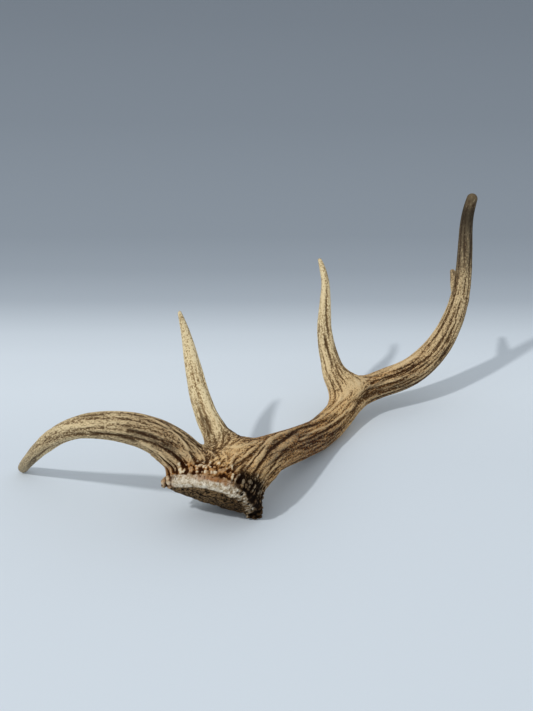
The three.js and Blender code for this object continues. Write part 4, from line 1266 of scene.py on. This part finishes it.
# ------------------------------------------------------------ pieces
PIECES = [("lower_beam", "antler_beam"), ("brow_tine", "antler_tine"), ("bez_tine", "antler_pale"),
          ("trez_tine", "antler_pale"), ("upper_beam", "antler_tine")]
for k, (name, slot) in enumerate(PIECES):
    f = quads[fnode == k]
    used = np.unique(f)
    remap = -np.ones(NV, np.int64)
    remap[used] = np.arange(len(used))
    vs = P[used]
    ns = Nrm[used]
    fs = remap[f]
    ms = {m: a[used] for m, a in MASKS.items()}
    gs_ = {m: a[used] for m, a in VECS.items()}
    # close the cut ends with a fan over each border loop
    he = np.concatenate([np.stack([fs[:, i], fs[:, (i + 1) % 4]], 1) for i in range(4)])
    key = he[:, 0] * (len(vs) + 1) + he[:, 1]
    rev = he[:, 1] * (len(vs) + 1) + he[:, 0]
    open_ = he[~np.isin(rev, key)]
    tris = []
    if len(open_):
        lab = {}
        nxt = {}
        for a, b in open_:
            nxt.setdefault(int(a), int(b))
        seen = set()
        extra_v, extra_n, extra_src = [], [], []
        for a0 in list(nxt):
            if a0 in seen:
                continue
            loop = []
            a = a0
            while a not in seen and a in nxt:
                seen.add(a)
                loop.append(a)
                a = nxt[a]
            if len(loop) < 3:
                continue
            pts = vs[loop]
            c = pts.mean(0)
            nn = np.cross(pts - c, np.roll(pts, -1, 0) - c).sum(0)
            nn = -nn / np.linalg.norm(nn)
            b0 = len(vs) + len(extra_v)
            extra_v += list(pts) + [c]
            extra_n += [nn] * (len(loop) + 1)
            extra_src += loop + [loop[0]]
            m_ = len(loop)
            for i in range(m_):
                tris.append((b0 + (i + 1) % m_, b0 + i, b0 + m_))
        if extra_v:
            vs = np.concatenate([vs, np.array(extra_v)])
            ns = np.concatenate([ns, np.array(extra_n)])
            ms = {m: np.concatenate([a, a[extra_src]]) for m, a in ms.items()}
            gs_ = {m: np.concatenate([a, a[extra_src]]) for m, a in gs_.items()}
    out = (vs - ORIGIN) * 0.001
    me = make_mesh(name + "_bone", out, [tuple(q) for q in fs] + tris)
    me.polygons.foreach_set("use_smooth", np.ones(len(me.polygons), bool))
    for m, a in ms.items():
        at = me.attributes.new(m, "FLOAT", "POINT")
        at.data.foreach_set("value", a.astype(np.float32))
    for m, a in gs_.items():
        at = me.attributes.new(m, "FLOAT_VECTOR", "POINT")
        at.data.foreach_set("vector", a.astype(np.float32).reshape(-1))
    me.normals_split_custom_set_from_vertices([tuple(x) for x in ns])
    me.materials.append(MATS[slot])
    ob = bpy.data.objects.new(name + "_bone", me)
    bpy.context.scene.collection.objects.link(ob)
    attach(ob, "root")
    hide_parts(name)
    print("PIECE", name, len(me.vertices), len(me.polygons), out.min(0).round(4), out.max(0).round(4))

# ------------------------------------------------------------ floor and light
def floor_material(name):
    """Matt pale paper, with painted shade darkening it towards the back where a studio sweep curls up."""
    mat = bpy.data.materials.new(name)
    mat.use_nodes = True
    nt = mat.node_tree
    b = nt.nodes["Principled BSDF"]
    b.inputs["Roughness"].default_value = 0.9
    b.inputs["Specular IOR Level"].default_value = 0.1
    tc = nt.nodes.new("ShaderNodeTexCoord")
    sp = nt.nodes.new("ShaderNodeSeparateXYZ")
    mr = nt.nodes.new("ShaderNodeMapRange")
    mr.inputs["From Min"].default_value = -0.3
    mr.inputs["From Max"].default_value = 3.3
    cr = nt.nodes.new("ShaderNodeValToRGB")
    cr.color_ramp.interpolation = "LINEAR"
    # painted light and shade along Y: a slightly brighter band, then painted shade falling off towards the back
    stops = ((0.07, 1.0), (0.112, 1.06), (0.140, 1.02), (0.160, 0.92), (0.192, 0.615), (0.226, 0.49), (0.27, 0.42), (0.50, 0.365),
             (0.95, 0.345))
    e = cr.color_ramp.elements
    while len(e) < len(stops):
        e.new(0.5)
    for x, (pos, k) in zip(e, stops):
        x.position = pos
        x.color = (0.690 * k, 0.760 * k ** 0.95, 0.835 * k ** 0.88, 1)
    nt.links.new(tc.outputs["Object"], sp.inputs[0])
    nt.links.new(sp.outputs["Y"], mr.inputs["Value"])
    nt.links.new(mr.outputs["Result"], cr.inputs["Fac"])
    nt.links.new(cr.outputs["Color"], b.inputs["Base Color"])
    return mat


fm = make_mesh("floor", [(-60, -60, 0), (60, -60, 0), (60, 60, 0), (-60, 60, 0)], [(0, 1, 2, 3)])
fm.materials.append(floor_material("floor_paper"))
floor = bpy.data.objects.new("floor", fm)
bpy.context.scene.collection.objects.link(floor)
floor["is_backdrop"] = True

LD = np.array([0.47601, 0.49339, -0.72800])
key = bpy.data.lights.new("key", "AREA")
key.shape = "DISK"
key.size = 0.42
key.energy = 265.0
key.color = (1.0, 0.985, 0.96)
ko = bpy.data.objects.new("key", key)
aim = np.array([0.0, 0.05, 0.06])
ko.location = aim - LD * 8.0
ko.rotation_euler = Vector(LD).to_track_quat("-Z", "Y").to_euler()
bpy.context.scene.collection.objects.link(ko)

world = bpy.data.worlds.new("world")
bpy.context.scene.world = world
world.use_nodes = True
bg = world.node_tree.nodes["Background"]
bg.inputs["Color"].default_value = (0.95, 0.98, 1.0, 1)
bg.inputs["Strength"].default_value = 0.60

bpy.context.scene.view_settings.view_transform = "Standard"
bpy.context.scene.view_settings.look = "None"

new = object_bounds()
